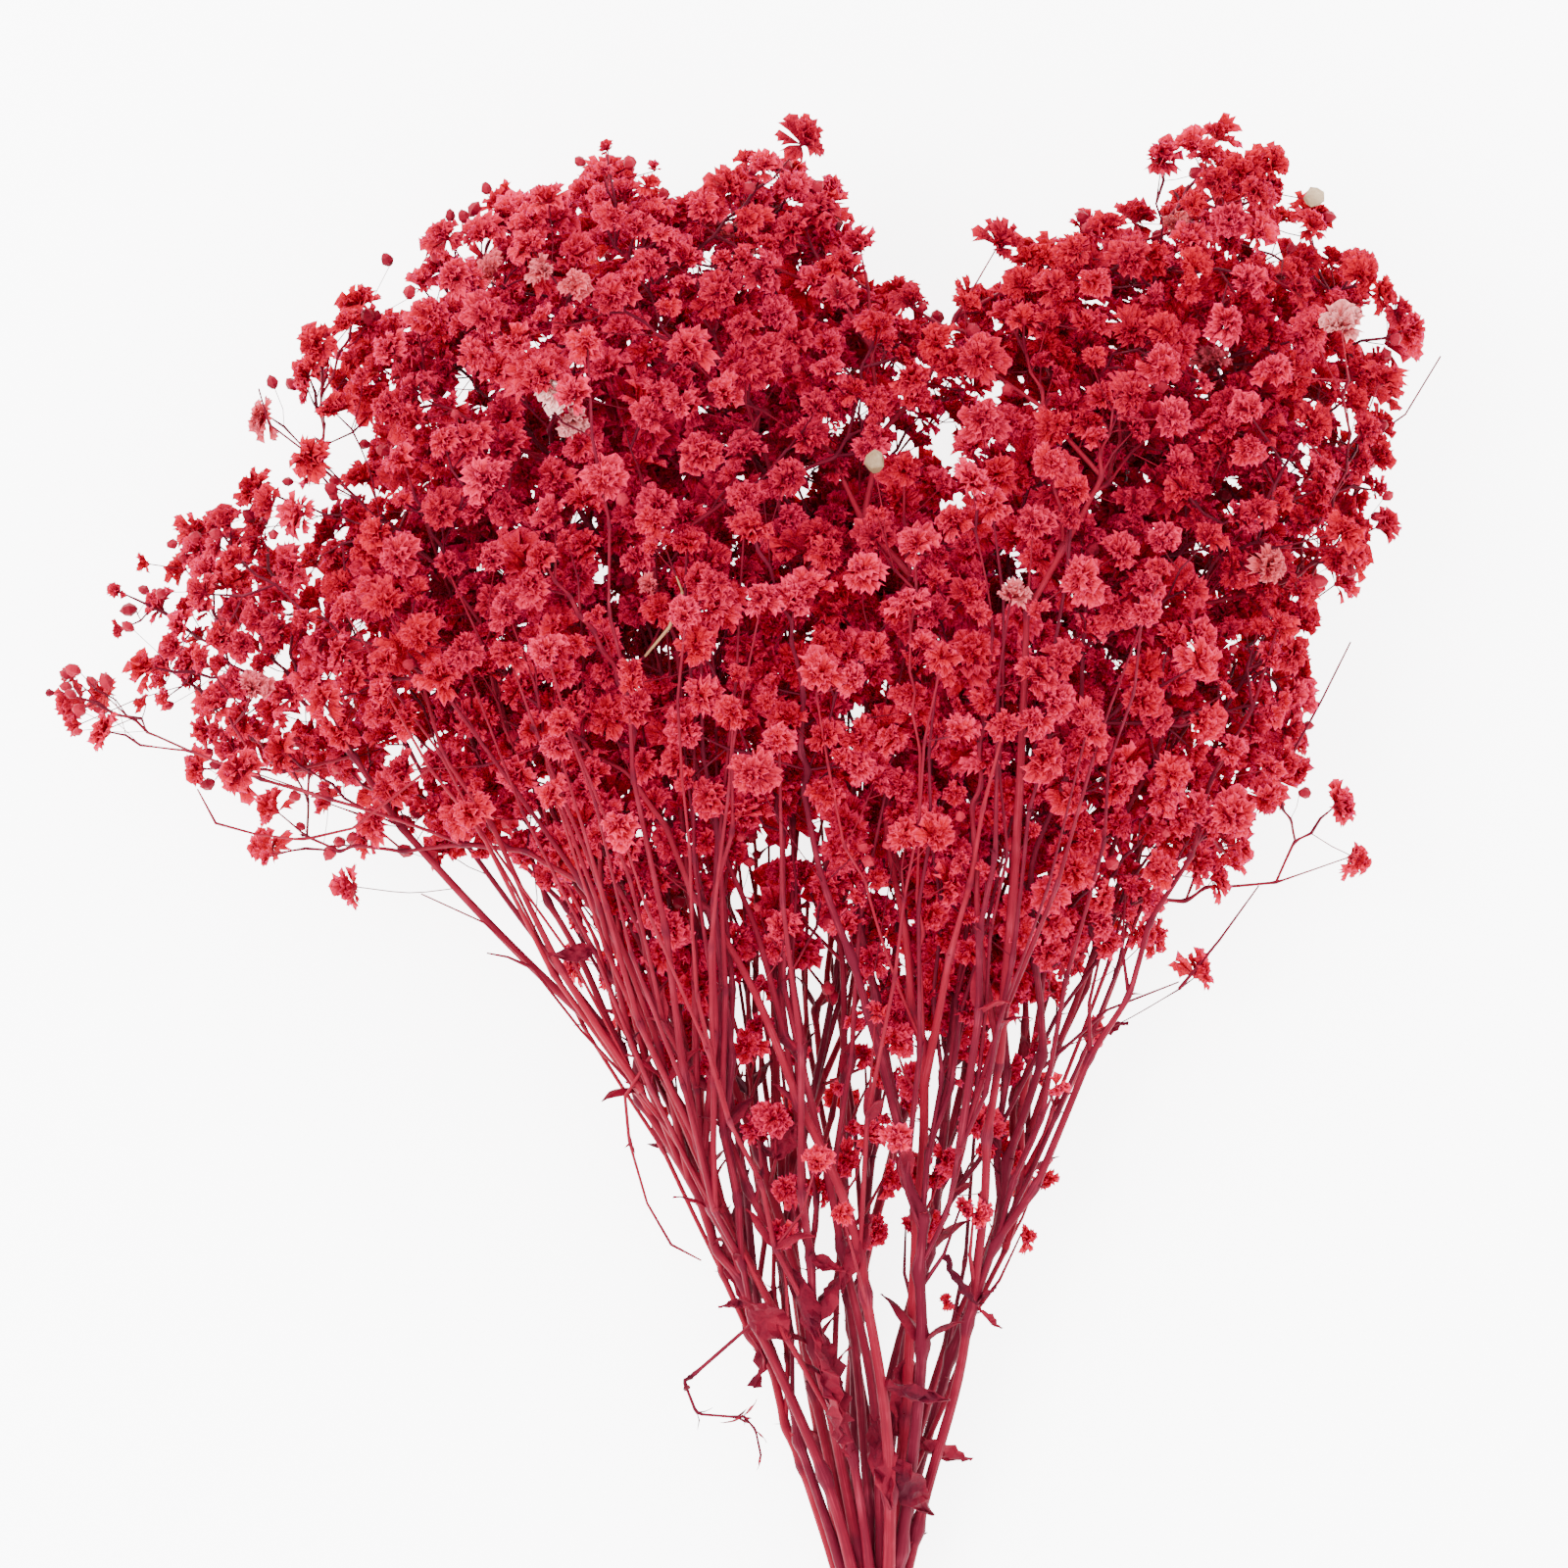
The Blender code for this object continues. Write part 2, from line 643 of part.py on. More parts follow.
def main():
    for thing in list(bpy.data.objects):
        bpy.data.objects.remove(thing)
    collection = bpy.data.collections.new("dried_gypsophila")
    bpy.context.scene.collection.children.link(collection)
    growth = grow()
    share_forks(growth)
    dyed = plain_material("dyed_gypsophila", STEM_RED, 0.8)
    random = np.random.default_rng(SEED + 1)
    made = [make_spray(k, growth, collection, dyed, random) for k in range(len(slots()))]
    made.append(make_band(collection, plain_material("rubber", BAND_TAN, 0.6)))
    points = np.array([v.co for thing in made for v in thing.data.vertices])
    low, high = points.min(0), points.max(0)
    to_middle = Matrix.Translation((-(low[0] + high[0]) / 2, -(low[1] + high[1]) / 2, 0))
    for thing in made:
        thing.data.transform(to_middle)
    heads = [0] * len(slots())
    for shoot in growth.shoots:
        heads[shoot["spray"]] += shoot["bloom"] > 0
    print("blooms", sum(heads), "of each spray", heads)
    print("feet", sum("foot" in shoot for shoot in growth.shoots), "lowest", low[2])


main()
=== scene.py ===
# %% [markdown]
# # A bunch of dried, dyed gypsophila
#
# The real thing is a plant, cut, dyed red and dried: nineteen sprays pinched together at the
# bottom, each one a stalk that forks again and again into hair-thin twigs, and at the end of
# every twig a double bloom the size of a fingernail. This lesson dresses the CAD model of it.
#
# We start by loading the CAD model as a fixed frame. Its box is kept, because the dressed bunch
# must not grow out of it, and the box of the rubber band tells where the bunch's neck is.

# %% Load the frame
import json
import math

import bmesh
import bpy
import numpy as np
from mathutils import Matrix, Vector

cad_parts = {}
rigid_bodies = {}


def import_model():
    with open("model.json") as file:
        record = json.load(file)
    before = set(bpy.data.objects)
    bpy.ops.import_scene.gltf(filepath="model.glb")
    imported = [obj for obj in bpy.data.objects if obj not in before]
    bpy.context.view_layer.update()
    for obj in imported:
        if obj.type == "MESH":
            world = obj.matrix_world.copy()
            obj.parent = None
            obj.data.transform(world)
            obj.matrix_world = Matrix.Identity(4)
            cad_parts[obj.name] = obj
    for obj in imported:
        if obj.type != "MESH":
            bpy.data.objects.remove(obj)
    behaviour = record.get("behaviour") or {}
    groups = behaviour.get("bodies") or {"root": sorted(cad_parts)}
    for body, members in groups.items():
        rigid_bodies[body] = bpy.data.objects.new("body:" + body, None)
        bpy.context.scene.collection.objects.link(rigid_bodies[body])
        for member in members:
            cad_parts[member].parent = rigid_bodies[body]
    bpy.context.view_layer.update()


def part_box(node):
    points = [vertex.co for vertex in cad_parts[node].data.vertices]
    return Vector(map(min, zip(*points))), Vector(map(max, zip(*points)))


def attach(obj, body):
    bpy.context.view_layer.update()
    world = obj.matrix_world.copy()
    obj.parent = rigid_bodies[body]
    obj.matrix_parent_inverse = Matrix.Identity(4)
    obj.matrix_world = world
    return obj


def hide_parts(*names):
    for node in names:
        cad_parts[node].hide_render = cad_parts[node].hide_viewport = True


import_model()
MM = 0.001
neck_low, neck_high = (np.array(corner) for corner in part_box("rubber_band"))
NECK = np.array(((neck_low[0] + neck_high[0]) / 2, (neck_low[1] + neck_high[1]) / 2, 0.0))
print("neck of the bunch at", NECK)

# %% [markdown]
# ## The camera
#
# The bunch lies on a table, so the photograph's front view becomes a view straight down. A long
# lens well above keeps the stems from splaying. The lens and the height are chosen together: at
# 1.5 m a 135 mm lens sees 0.4 m, which is 1600 pixels of a quarter of a millimetre.
#
# All places in this lesson are first reckoned in millimetres from the neck, as seen in the
# photograph, and `placed` turns them into metres in the frame.

# %% Camera
PIXEL = 0.25
NECK_PIXEL = (893, 1670)
PHOTO_MIDDLE = (800, 800)
LENS = 135.0
SENSOR = 36.0
VIEW_HEIGHT = 1.5
CROWN_MIDDLE_Z = 0.06


def placed(points):
    """Places in metres in the frame, from millimetres from the neck."""
    return np.asarray(points) * MM + NECK


def from_photo(pixel):
    """Millimetres across and along the bunch, from a place in the photograph."""
    return (
        (pixel[0] - NECK_PIXEL[0]) * PIXEL,
        (NECK_PIXEL[1] - pixel[1]) * PIXEL,
    )


middle = placed((*from_photo(PHOTO_MIDDLE), 0.0))
camera = bpy.data.objects.new("camera", bpy.data.cameras.new("camera"))
bpy.context.scene.collection.objects.link(camera)
camera.data.lens = LENS
camera.data.sensor_width = SENSOR
camera.location = (middle[0], middle[1], CROWN_MIDDLE_Z + VIEW_HEIGHT)
bpy.context.scene.camera = camera
print("camera above", middle)

# %% [markdown]
# ## The table and the light
#
# Dried flowers are sold on a white ground under soft light, which is what keeps the colour of
# the dye pure. A white sheet lies under the bunch and glows, as on a light table, so that it
# stays white between the blooms. A wide lamp hangs high at the left, and a white sky all round
# fills the shadows without removing them.

# %% Table and light
PAPER_WHITE = (0.97, 0.97, 0.975, 1.0)
PAPER_ROUGH = 0.9
PAPER_GLOW = 5.0
TABLE_SIZE = 6.0
LAMP_ASIDE = -0.75
LAMP_ALONG = 0.15
LAMP_HEIGHT = 1.6
LAMP_SIZE = 0.8
LAMP_WATTS = 38.0
SKY_WHITE = (1.0, 1.0, 1.0, 1.0)
SKY_STRENGTH = 4.3


def white_table():
    bm = bmesh.new()
    bmesh.ops.create_grid(bm, x_segments=1, y_segments=1, size=TABLE_SIZE / 2)
    mesh = bpy.data.meshes.new("table")
    bm.to_mesh(mesh)
    bm.free()
    table = bpy.data.objects.new("table", mesh)
    bpy.context.scene.collection.objects.link(table)
    paper = bpy.data.materials.new("white paper")
    paper.use_nodes = True
    shader = paper.node_tree.nodes["Principled BSDF"]
    shader.inputs["Base Color"].default_value = PAPER_WHITE
    shader.inputs["Roughness"].default_value = PAPER_ROUGH
    shader.inputs["Emission Color"].default_value = PAPER_WHITE
    shader.inputs["Emission Strength"].default_value = PAPER_GLOW
    mesh.materials.append(paper)
    return table


def soft_lamp(name, place, aim, size, watts):
    lamp = bpy.data.objects.new(name, bpy.data.lights.new(name, "AREA"))
    lamp.data.size = size
    lamp.data.energy = watts
    lamp.location = place
    lamp.rotation_euler = (Vector(aim) - Vector(place)).to_track_quat("-Z", "Y").to_euler()
    bpy.context.scene.collection.objects.link(lamp)
    return lamp


white_table()
crown = (middle[0], middle[1], CROWN_MIDDLE_Z)
window = (middle[0] + LAMP_ASIDE, middle[1] + LAMP_ALONG, LAMP_HEIGHT)
soft_lamp("window", window, crown, LAMP_SIZE, LAMP_WATTS)
sky = bpy.data.worlds.new("pale sky")
bpy.context.scene.world = sky
sky.use_nodes = True
sky.node_tree.nodes["Background"].inputs["Color"].default_value = SKY_WHITE
sky.node_tree.nodes["Background"].inputs["Strength"].default_value = SKY_STRENGTH
print("table, lamp and sky are set")

# %% [markdown]
# ## Where the bunch may grow
#
# The CAD model was grown, not drawn: a rule pushes shoots from the neck towards goals inside an
# outline. If this lesson grows by the same rule from the same seed, its fine stalks run exactly
# where the solid ones do, and it can go on growing from there. So the CAD model's rule comes
# first, number for number. The outline is the crown's edge seen from above.

# %% The outline of the crown
SEED = 11
OUTLINE = (
    (46, 700), (108, 600), (172, 540), (238, 492), (300, 470), (246, 410), (290, 368), (350, 300),
    (430, 235), (500, 190), (560, 168), (622, 152), (700, 195), (758, 168), (820, 128), (852, 175),
    (884, 235), (940, 292), (992, 285), (1030, 232), (1100, 222), (1176, 205), (1200, 148),
    (1260, 122), (1312, 168), (1352, 212), (1402, 262), (1452, 328), (1456, 384), (1424, 430),
    (1436, 480), (1432, 532), (1392, 592), (1352, 640), (1342, 700), (1350, 764), (1352, 810),
    (1300, 862), (1244, 892), (1200, 930), (1100, 1000), (1040, 1040), (960, 1062), (900, 1062),
    (820, 1000), (760, 1010), (700, 1050), (640, 1010), (590, 930), (520, 888), (430, 885),
    (350, 880), (260, 840), (180, 790), (84, 750),
)
STRAYS = (
    (1386, 876), (1366, 824), (1226, 1000), (1180, 958), (272, 872), (360, 906), (184, 786),
    (690, 1066), (74, 712), (70, 742), (1000, 1150), (590, 985), (1110, 1060), (812, 1140),
)
CROWN_DEEP = 60.0
CROWN_EDGE = 100.0
CROWN_SWELL = 0.55
CORNERS = np.array([from_photo(p) for p in OUTLINE])


def unit(v):
    return v / np.linalg.norm(v)


def edge_distance(points):
    """How far inside the outline each point is; outside it the number is negative."""
    a = CORNERS
    b = np.roll(a, -1, axis=0)
    p = np.atleast_2d(points)[:, None, :2]
    along = np.clip(((p - a) * (b - a)).sum(-1) / ((b - a) ** 2).sum(-1), 0, 1)
    far = np.linalg.norm(p - a - along[..., None] * (b - a), axis=-1).min(1)
    x, y = p[..., 0], p[..., 1]
    crosses = (a[:, 1] > y) != (b[:, 1] > y)
    steep = np.where(crosses, b[:, 1] - a[:, 1], 1.0)
    left = x < a[:, 0] + (y - a[:, 1]) / steep * (b[:, 0] - a[:, 0])
    inside = (crosses & left).sum(1) % 2 == 1
    return np.where(inside, far, -far)


def half_depth(inside):
    """How far the crown reaches above and below its axis, that far inside its outline."""
    return CROWN_DEEP * np.clip(inside / CROWN_EDGE, 0.0, 1.0) ** CROWN_SWELL


print("outline spans", np.ptp(CORNERS, axis=0), "mm")

# %% [markdown]
# ## How the stems leave the neck
#
# Nineteen round stems pack in a hexagon, as pencils do in a fist. Above the band they fan out
# and turn a little about the bunch's axis, the way hand-tied stems spiral.

# %% The stems' ways
RINGS = 2
STEM_RADIUS = 1.75
SLOT_PITCH = 3.74
BAND_HALF = 4.0
CUT_Y = -62.0
CUT_UNEVEN = 5.0
CUT_FLARE = 0.28
CUT_TWIST = math.radians(-22)
FORK_Y = 142.0
FAN_WIDE = 6.3
FAN_DEEP = 2.9
FAN_BEND = 1.12
FAN_DRIFT = -0.045
FAN_TWIST = math.radians(70)
FAN_TWIST_Y = 200.0
AXIS_RISE = 0.13
HEX_ROW = math.sqrt(0.75)


def slots():
    """The places of the stems at the band, in a hexagon."""
    found = []
    for r in range(-RINGS, RINGS + 1):
        for q in range(-RINGS, RINGS + 1):
            if abs(q + r) <= RINGS:
                found.append((SLOT_PITCH * (q + r / 2), SLOT_PITCH * r * HEX_ROW))
    return found


def twist_at(y):
    """How far the bundle has turned about its axis, above the band and below it."""
    if y > 0:
        return FAN_TWIST * min(max(y - BAND_HALF, 0) / FAN_TWIST_Y, 1.0)
    return CUT_TWIST * max(-y - BAND_HALF, 0) / -CUT_Y


def slot_offset(slot, y):
    """How far to the side of the bunch's axis, and above it, the stem of this slot passes."""
    turn = twist_at(y)
    x = slot[0] * math.cos(turn) - slot[1] * math.sin(turn)
    z = slot[0] * math.sin(turn) + slot[1] * math.cos(turn)
    fan = (max(y - BAND_HALF, 0) / (FORK_Y - BAND_HALF)) ** FAN_BEND
    flare = CUT_FLARE * max(-y - BAND_HALF, 0) / -CUT_Y
    return x * (1 + FAN_WIDE * fan + flare), z * (1 + FAN_DEEP * fan + flare)


AXIS_BASE = STEM_RADIUS - min(slot_offset(slot, CUT_Y)[1] for slot in slots())


def axis_height(y):
    return AXIS_BASE + AXIS_RISE * (y - CUT_Y)


def stem_place(slot, y):
    aside, above = slot_offset(slot, y)
    return np.array((aside + FAN_DRIFT * max(y, 0), y, axis_height(y) + above))


print(len(slots()), "stems, the axis is", round(axis_height(0), 1), "mm high at the neck")

# %% [markdown]
# ## Growing with elbow room
#
# Twigs that run through each other give a made plant away at once. A growing shoot here looks
# for the joint that reaches its goal with the least bending, and takes it only if the way is
# clear. The measure is the distance between two straight segments. Only segments whose boxes
# come near are measured, which makes the search about ten times quicker.

# %% Room for growth
BLOOM_RADIUS = 6.2
BLOOM_VARY = 0.14
BLOOM_ROOM = 1.18
BRANCH_SPACING = 34.0
BLOOM_SPACING = 14.5
BLOOM_COUNT = 372
INTERNODE = 20.0
COLEADER_RADIUS = 1.25
BRANCH_RADIUS = 0.95
TWIG_RADIUS = 0.42
HEAD_COST = 2.2
CLEAR = 0.45
TABLE_CLEAR = 1.0
LEANS = (0.55, 0.2, -0.15)
SHOOT_BEND = 0.45
NEARBY = 6.0
OWN_JOINT = 2.5
SPECK = 1e-3
HEAD_AHEAD = 0.4
FAR_COST = 1.6
STRAIGHT_SAVES = 0.6
LEAVE_WAVER = 0.05
NEVER = 1e6
TINY = 1e-9


def segment_gaps(p, q, a, b):
    """The least distance from the segment pq to each segment ab."""
    d, e = q - p, b - a
    r = p - a
    dd = max(d @ d, TINY)
    ee = np.maximum((e * e).sum(1), TINY)
    de, er, dr = e @ d, (e * r).sum(1), r @ d
    flat = dd * ee - de * de
    s = np.clip((de * er - dr * ee) / np.where(flat > TINY, flat, 1.0), 0, 1)
    t = np.clip((de * s + er) / ee, 0, 1)
    s = np.clip((de * t - dr) / dd, 0, 1)
    return np.linalg.norm(r + s[:, None] * d - t[:, None] * e, axis=1)


class Growth:
    """The shoots and blooms so far, the room they take, and the joints that can fork."""

    def __init__(self, gap=CLEAR, head_room=BLOOM_ROOM, head_cost=HEAD_COST, shortest=7.0):
        self.gap, self.head_room = gap, head_room
        self.head_cost, self.shortest = head_cost, shortest
        self.shoots = []
        self.a = np.zeros((0, 3))
        self.b = np.zeros((0, 3))
        self.radius = np.zeros(0)
        self.spray = np.zeros(0, int)
        self.ball = np.zeros((0, 3))
        self.ball_radius = np.zeros(0)
        self.ball_spray = np.zeros(0, int)
        self.joint = np.zeros((0, 3))
        self.joint_way = np.zeros((0, 3))
        self.joint_spray = np.zeros(0, int)
        self.joint_level = np.zeros(0, int)
        self.joint_room = np.zeros(0, int)
        self.joint_of = np.zeros((0, 2), int)

    def clear(self, points, radius, spray, ball, ball_radius):
        """Whether the shoot and its bloom miss the table and all else, but for their own joint."""
        if points[:, 2].min() < radius + TABLE_CLEAR or ball[2] < ball_radius + TABLE_CLEAR:
            return False
        root = points[0]
        low = np.minimum(points.min(0), ball - ball_radius) - NEARBY
        high = np.maximum(points.max(0), ball + ball_radius) + NEARBY
        near = (np.maximum(self.a, self.b) > low).all(1) & (np.minimum(self.a, self.b) < high).all(1)
        a, b, thick, whose = self.a[near], self.b[near], self.radius[near], self.spray[near]
        other = (whose != spray) | (segment_gaps(root, root + SPECK, a, b) > OWN_JOINT)
        a, b, thick = a[other], b[other], thick[other]
        for p, q in zip(points, points[1:]):
            if len(a) and (segment_gaps(p, q, a, b) - thick).min() < radius + self.gap:
                return False
        room = ball_radius + self.gap
        if len(a) and (segment_gaps(ball, ball + SPECK, a, b) - thick).min() < room:
            return False
        if not len(self.ball):
            return True
        if (np.linalg.norm(self.ball - ball, axis=1) - self.ball_radius).min() < room:
            return False
        for p, q in zip(points, points[1:]):
            gaps = segment_gaps(p, q, self.ball, self.ball + SPECK) - self.ball_radius
            if gaps.min() < radius + self.gap:
                return False
        return True

    def add(self, points, radius, spray, level, rooms, bloom=0.0, origin=(-1, -1)):
        """Keeps a shoot; rooms gives how many shoots may fork from each of its points."""
        way = unit(points[-1] - points[-2])
        mine = len(self.shoots)
        self.shoots.append({
            "points": points, "radius": radius, "spray": spray, "level": level,
            "bloom": bloom, "way": way, "origin": tuple(origin),
        })
        count = len(points) - 1
        self.a = np.vstack((self.a, points[:-1]))
        self.b = np.vstack((self.b, points[1:]))
        self.radius = np.append(self.radius, np.full(count, radius))
        self.spray = np.append(self.spray, np.full(count, spray))
        if bloom:
            self.ball = np.vstack((self.ball, points[-1] + way * bloom * HEAD_AHEAD))
            self.ball_radius = np.append(self.ball_radius, bloom * self.head_room)
            self.ball_spray = np.append(self.ball_spray, spray)
        open_at = [k for k in range(1, len(points) - 1) if rooms[k]]
        if open_at:
            ways = [unit(points[k] - points[k - 1]) for k in open_at]
            self.joint = np.vstack((self.joint, points[open_at]))
            self.joint_way = np.vstack((self.joint_way, ways))
            self.joint_spray = np.append(self.joint_spray, np.full(len(open_at), spray))
            self.joint_level = np.append(self.joint_level, np.full(len(open_at), level))
            self.joint_room = np.append(self.joint_room, [rooms[k] for k in open_at])
            self.joint_of = np.vstack((self.joint_of, [(mine, k) for k in open_at]))

    def reach(
        self, goal, bloom, radius, longest, random, tries=14, widest=62.0, only=True, leans=LEANS
    ):
        """Grows a shoot to the goal from the best joint that has a clear way."""
        away = goal - self.joint
        length = np.linalg.norm(away, axis=1)
        along = (away * self.joint_way).sum(1) / length
        fits = (self.joint_room > 0) & (length > self.shortest) & (length < longest) & only
        fits &= along > math.cos(math.radians(widest))
        heads = np.bincount(self.ball_spray, minlength=self.spray.max() + 1)[self.joint_spray]
        cost = length * (FAR_COST - STRAIGHT_SAVES * along) + self.head_cost * heads
        cost = cost + np.where(fits, 0.0, NEVER)
        for k in np.argsort(cost)[:tries]:
            if not fits[k]:
                return False
            start, straight, main = self.joint[k], away[k] / length[k], self.joint_way[k]
            outward = straight - main * (straight @ main)
            for lean in leans:
                leave = unit(straight + outward * lean + random.normal(0, LEAVE_WAVER, 3))
                count = max(2, round(length[k] / INTERNODE))
                elbow = start + leave * length[k] * SHOOT_BEND
                t = np.linspace(0, 1, count + 1)[:, None]
                points = (1 - t) ** 2 * start + 2 * t * (1 - t) * elbow + t * t * goal
                way = unit(points[-1] - points[-2])
                ball = goal + way * bloom * HEAD_AHEAD
                spray = self.joint_spray[k]
                if self.clear(points, radius, spray, ball, max(bloom * self.head_room, radius)):
                    rooms = np.full(count + 1, 2 if self.joint_level[k] == 0 else 1)
                    self.joint_room[k] -= 1
                    level = self.joint_level[k] + 1
                    self.add(points, radius, spray, level, rooms, bloom, self.joint_of[k])
                    return True
        return False


print("a shoot may bend away from its goal by", LEANS)

# %% [markdown]
# ## The shoots of the CAD model again
#
# First a leading stem from each slot, then a second one beside it, because gypsophila divides in
# two at its joints. Then the two low blooms that the bunch rests on, the outline, the strays and
# the filling. Goals near the neck come first, so that later ones can fork from them. The order
# of every random draw matters here, since it has to be the CAD model's own.

# %% Grow the CAD model's shoots
WANDER = 0.026
STRAIGHT_Y = (14.0, 34.0)
FIRST_JOINT_Y = 62.0
FIRST_FORK_Y = 88.0
LEAD_Y = (215.0, 300.0)
FEET = ((-104.0, 246.0), (84.0, 262.0))
SOLE = BLOOM_RADIUS * BLOOM_ROOM + TABLE_CLEAR + 0.01
STEM_SHARE = 0.92
STEM_ROOMS = 3
FIRST_JOINT_VARY = 8.0
JOINTS_APART = (24.0, 33.0)
SWAY_KEPT = 0.6
SWAY_NEW = 0.7
SWAY_MOST = 1.4
LEAD_FROM_EDGE = 17.0
LOW_STEM = (0.05, 2.0)


def main_stems(growth, random):
    """One leading stem from each slot, from its cut end to a bloom in the crown."""
    for number, slot in enumerate(slots()):
        cut = CUT_Y + random.uniform(-CUT_UNEVEN, CUT_UNEVEN) * (slot[1] > -SLOT_PITCH)
        heights = [cut, -BAND_HALF, BAND_HALF, *STRAIGHT_Y]
        y = FIRST_JOINT_Y + random.uniform(-FIRST_JOINT_VARY, FIRST_JOINT_VARY)
        drift = random.normal(0, 1, 2) * WANDER
        points = [stem_place(slot, h) for h in heights]
        while True:
            drift = SWAY_KEPT * drift + random.normal(0, 1, 2) * WANDER * SWAY_NEW
            sway = np.clip(drift, -SWAY_MOST * WANDER, SWAY_MOST * WANDER) * (y - STRAIGHT_Y[1])
            place = stem_place(slot, y) + np.array((sway[0], 0.0, sway[1]))
            place[2] = max(place[2], min(SOLE, LOW_STEM[0] * y + LOW_STEM[1]))
            inside = edge_distance(place)[0]
            if y > LEAD_Y[0] and (inside < LEAD_FROM_EDGE or y > LEAD_Y[1]):
                break
            points.append(place)
            y += random.uniform(*JOINTS_APART)
        points = np.array(points)
        rooms = np.where(points[:, 1] > FIRST_FORK_Y, STEM_ROOMS, 0)
        growth.add(points, STEM_RADIUS * STEM_SHARE, number, 0, rooms, BLOOM_RADIUS)


print("the lowest blooms' hearts lie", round(SOLE, 2), "mm above the table")

# %% Where its blooms go
FAN_HEART = (-30.0, 250.0)
EDGE_INSET = 1.05
EDGE_LEVEL = 0.95
CORNER_VARY = 12.0
STRAY_VARY = 9.0
MOST_MISSES = 6000
SPARSE_BELOW_Y = 205.0
SPARSE_SKIPPED = 0.62
INSET = 0.9
LOWEST_CROWN = BLOOM_RADIUS * BLOOM_ROOM + TABLE_CLEAR + 0.5


def outline_goals(random):
    """Blooms at every corner of the crown's outline, and the strays outside it."""
    heart = np.array(FAN_HEART)
    goals = []
    for corner in CORNERS:
        inward = unit(heart - corner)
        place = corner + inward * BLOOM_RADIUS * EDGE_INSET
        height = axis_height(place[1]) * EDGE_LEVEL + random.uniform(-CORNER_VARY, CORNER_VARY)
        goals.append(np.array((*place, height)))
    for stray in STRAYS:
        place = np.array(from_photo(stray))
        height = axis_height(place[1]) * EDGE_LEVEL + random.uniform(-STRAY_VARY, STRAY_VARY)
        goals.append(np.array((*place, height)))
    return goals


def crown_goals(random, count, spacing, taken):
    """Seeded places spread evenly through the crown, no two nearer than the spacing."""
    low, high = CORNERS.min(0), CORNERS.max(0)
    goals, misses = [], 0
    while len(goals) < count and misses < MOST_MISSES:
        place = random.uniform(low, high)
        inside = edge_distance(place)[0]
        sparse = place[1] < SPARSE_BELOW_Y
        if inside < BLOOM_RADIUS * INSET or (sparse and random.random() < SPARSE_SKIPPED):
            continue
        deep = half_depth(inside)
        level = axis_height(place[1])
        z = random.uniform(max(level - deep, LOWEST_CROWN), level + deep)
        goal = np.array((*place, z))
        near = [g for g in taken + goals if abs(g[0] - goal[0]) < spacing]
        if near and np.linalg.norm(np.array(near) - goal, axis=1).min() < spacing:
            misses += 1
            continue
        misses = 0
        goals.append(goal)
    return goals


print("a goal lies at least", round(LOWEST_CROWN, 2), "mm above the table")

# %% Grow them all
ANY_WAY = (60, 88.0)
ATTEMPTS = 6
BESIDE = (1.0, 1.0, 3.0)
FURTHER = 1.6
LAST_TRY = 1.3
LAST_SMALLER = 0.9
COLEADER_ASIDE = (24, 44)
COLEADER_SHORTER = (-50, -10)
COLEADER_VARY = 14
COLEADER_LONG = 230.0
COLEADER_DRAWS = 8
COLEADER_LIFT = 2
COLEADER_INSIDE = 12
COLEADER_WAY = (5, 40.0)
LOW_JOINTS_Y = FORK_Y + 16
BRANCH_LONG = 150.0
TWIG_LONG = 60.0
FOOT_LONG = 200.0
BRANCHES_WANTED = 400


def reach_near(growth, goal, radius, longest, random):
    """Grows a shoot to the goal, or to a place beside it where the way there is clear."""
    size = BLOOM_RADIUS * random.uniform(1 - BLOOM_VARY, 1 + BLOOM_VARY)
    for attempt in range(ATTEMPTS):
        near = goal + random.normal(0, 1, 3) * BESIDE * attempt * FURTHER
        if edge_distance(near)[0] < min(edge_distance(goal)[0], BLOOM_RADIUS):
            continue
        if growth.reach(near, size, radius, longest, random):
            return True
    longest = longest * LAST_TRY
    return growth.reach(goal, size * LAST_SMALLER, TWIG_RADIUS, longest, random, *ANY_WAY)


def coleaders(growth, random):
    """Beside each leading stem a second one forks from it low down, as the plant divides in two."""
    for lead in [shoot["points"][-1] for shoot in growth.shoots]:
        low = growth.joint[:, 1] < LOW_JOINTS_Y
        for _ in range(COLEADER_DRAWS):
            aside = random.choice((-1, 1)) * random.uniform(*COLEADER_ASIDE)
            shorter = random.uniform(*COLEADER_SHORTER)
            goal = lead + (aside, shorter, random.normal(0, COLEADER_VARY))
            inside = edge_distance(goal)[0]
            top = axis_height(goal[1]) + half_depth(inside)
            goal[2] = max(min(goal[2], top), SOLE + COLEADER_LIFT)
            if inside > COLEADER_INSIDE and growth.reach(
                goal, BLOOM_RADIUS, COLEADER_RADIUS, COLEADER_LONG, random, *COLEADER_WAY, low
            ):
                break


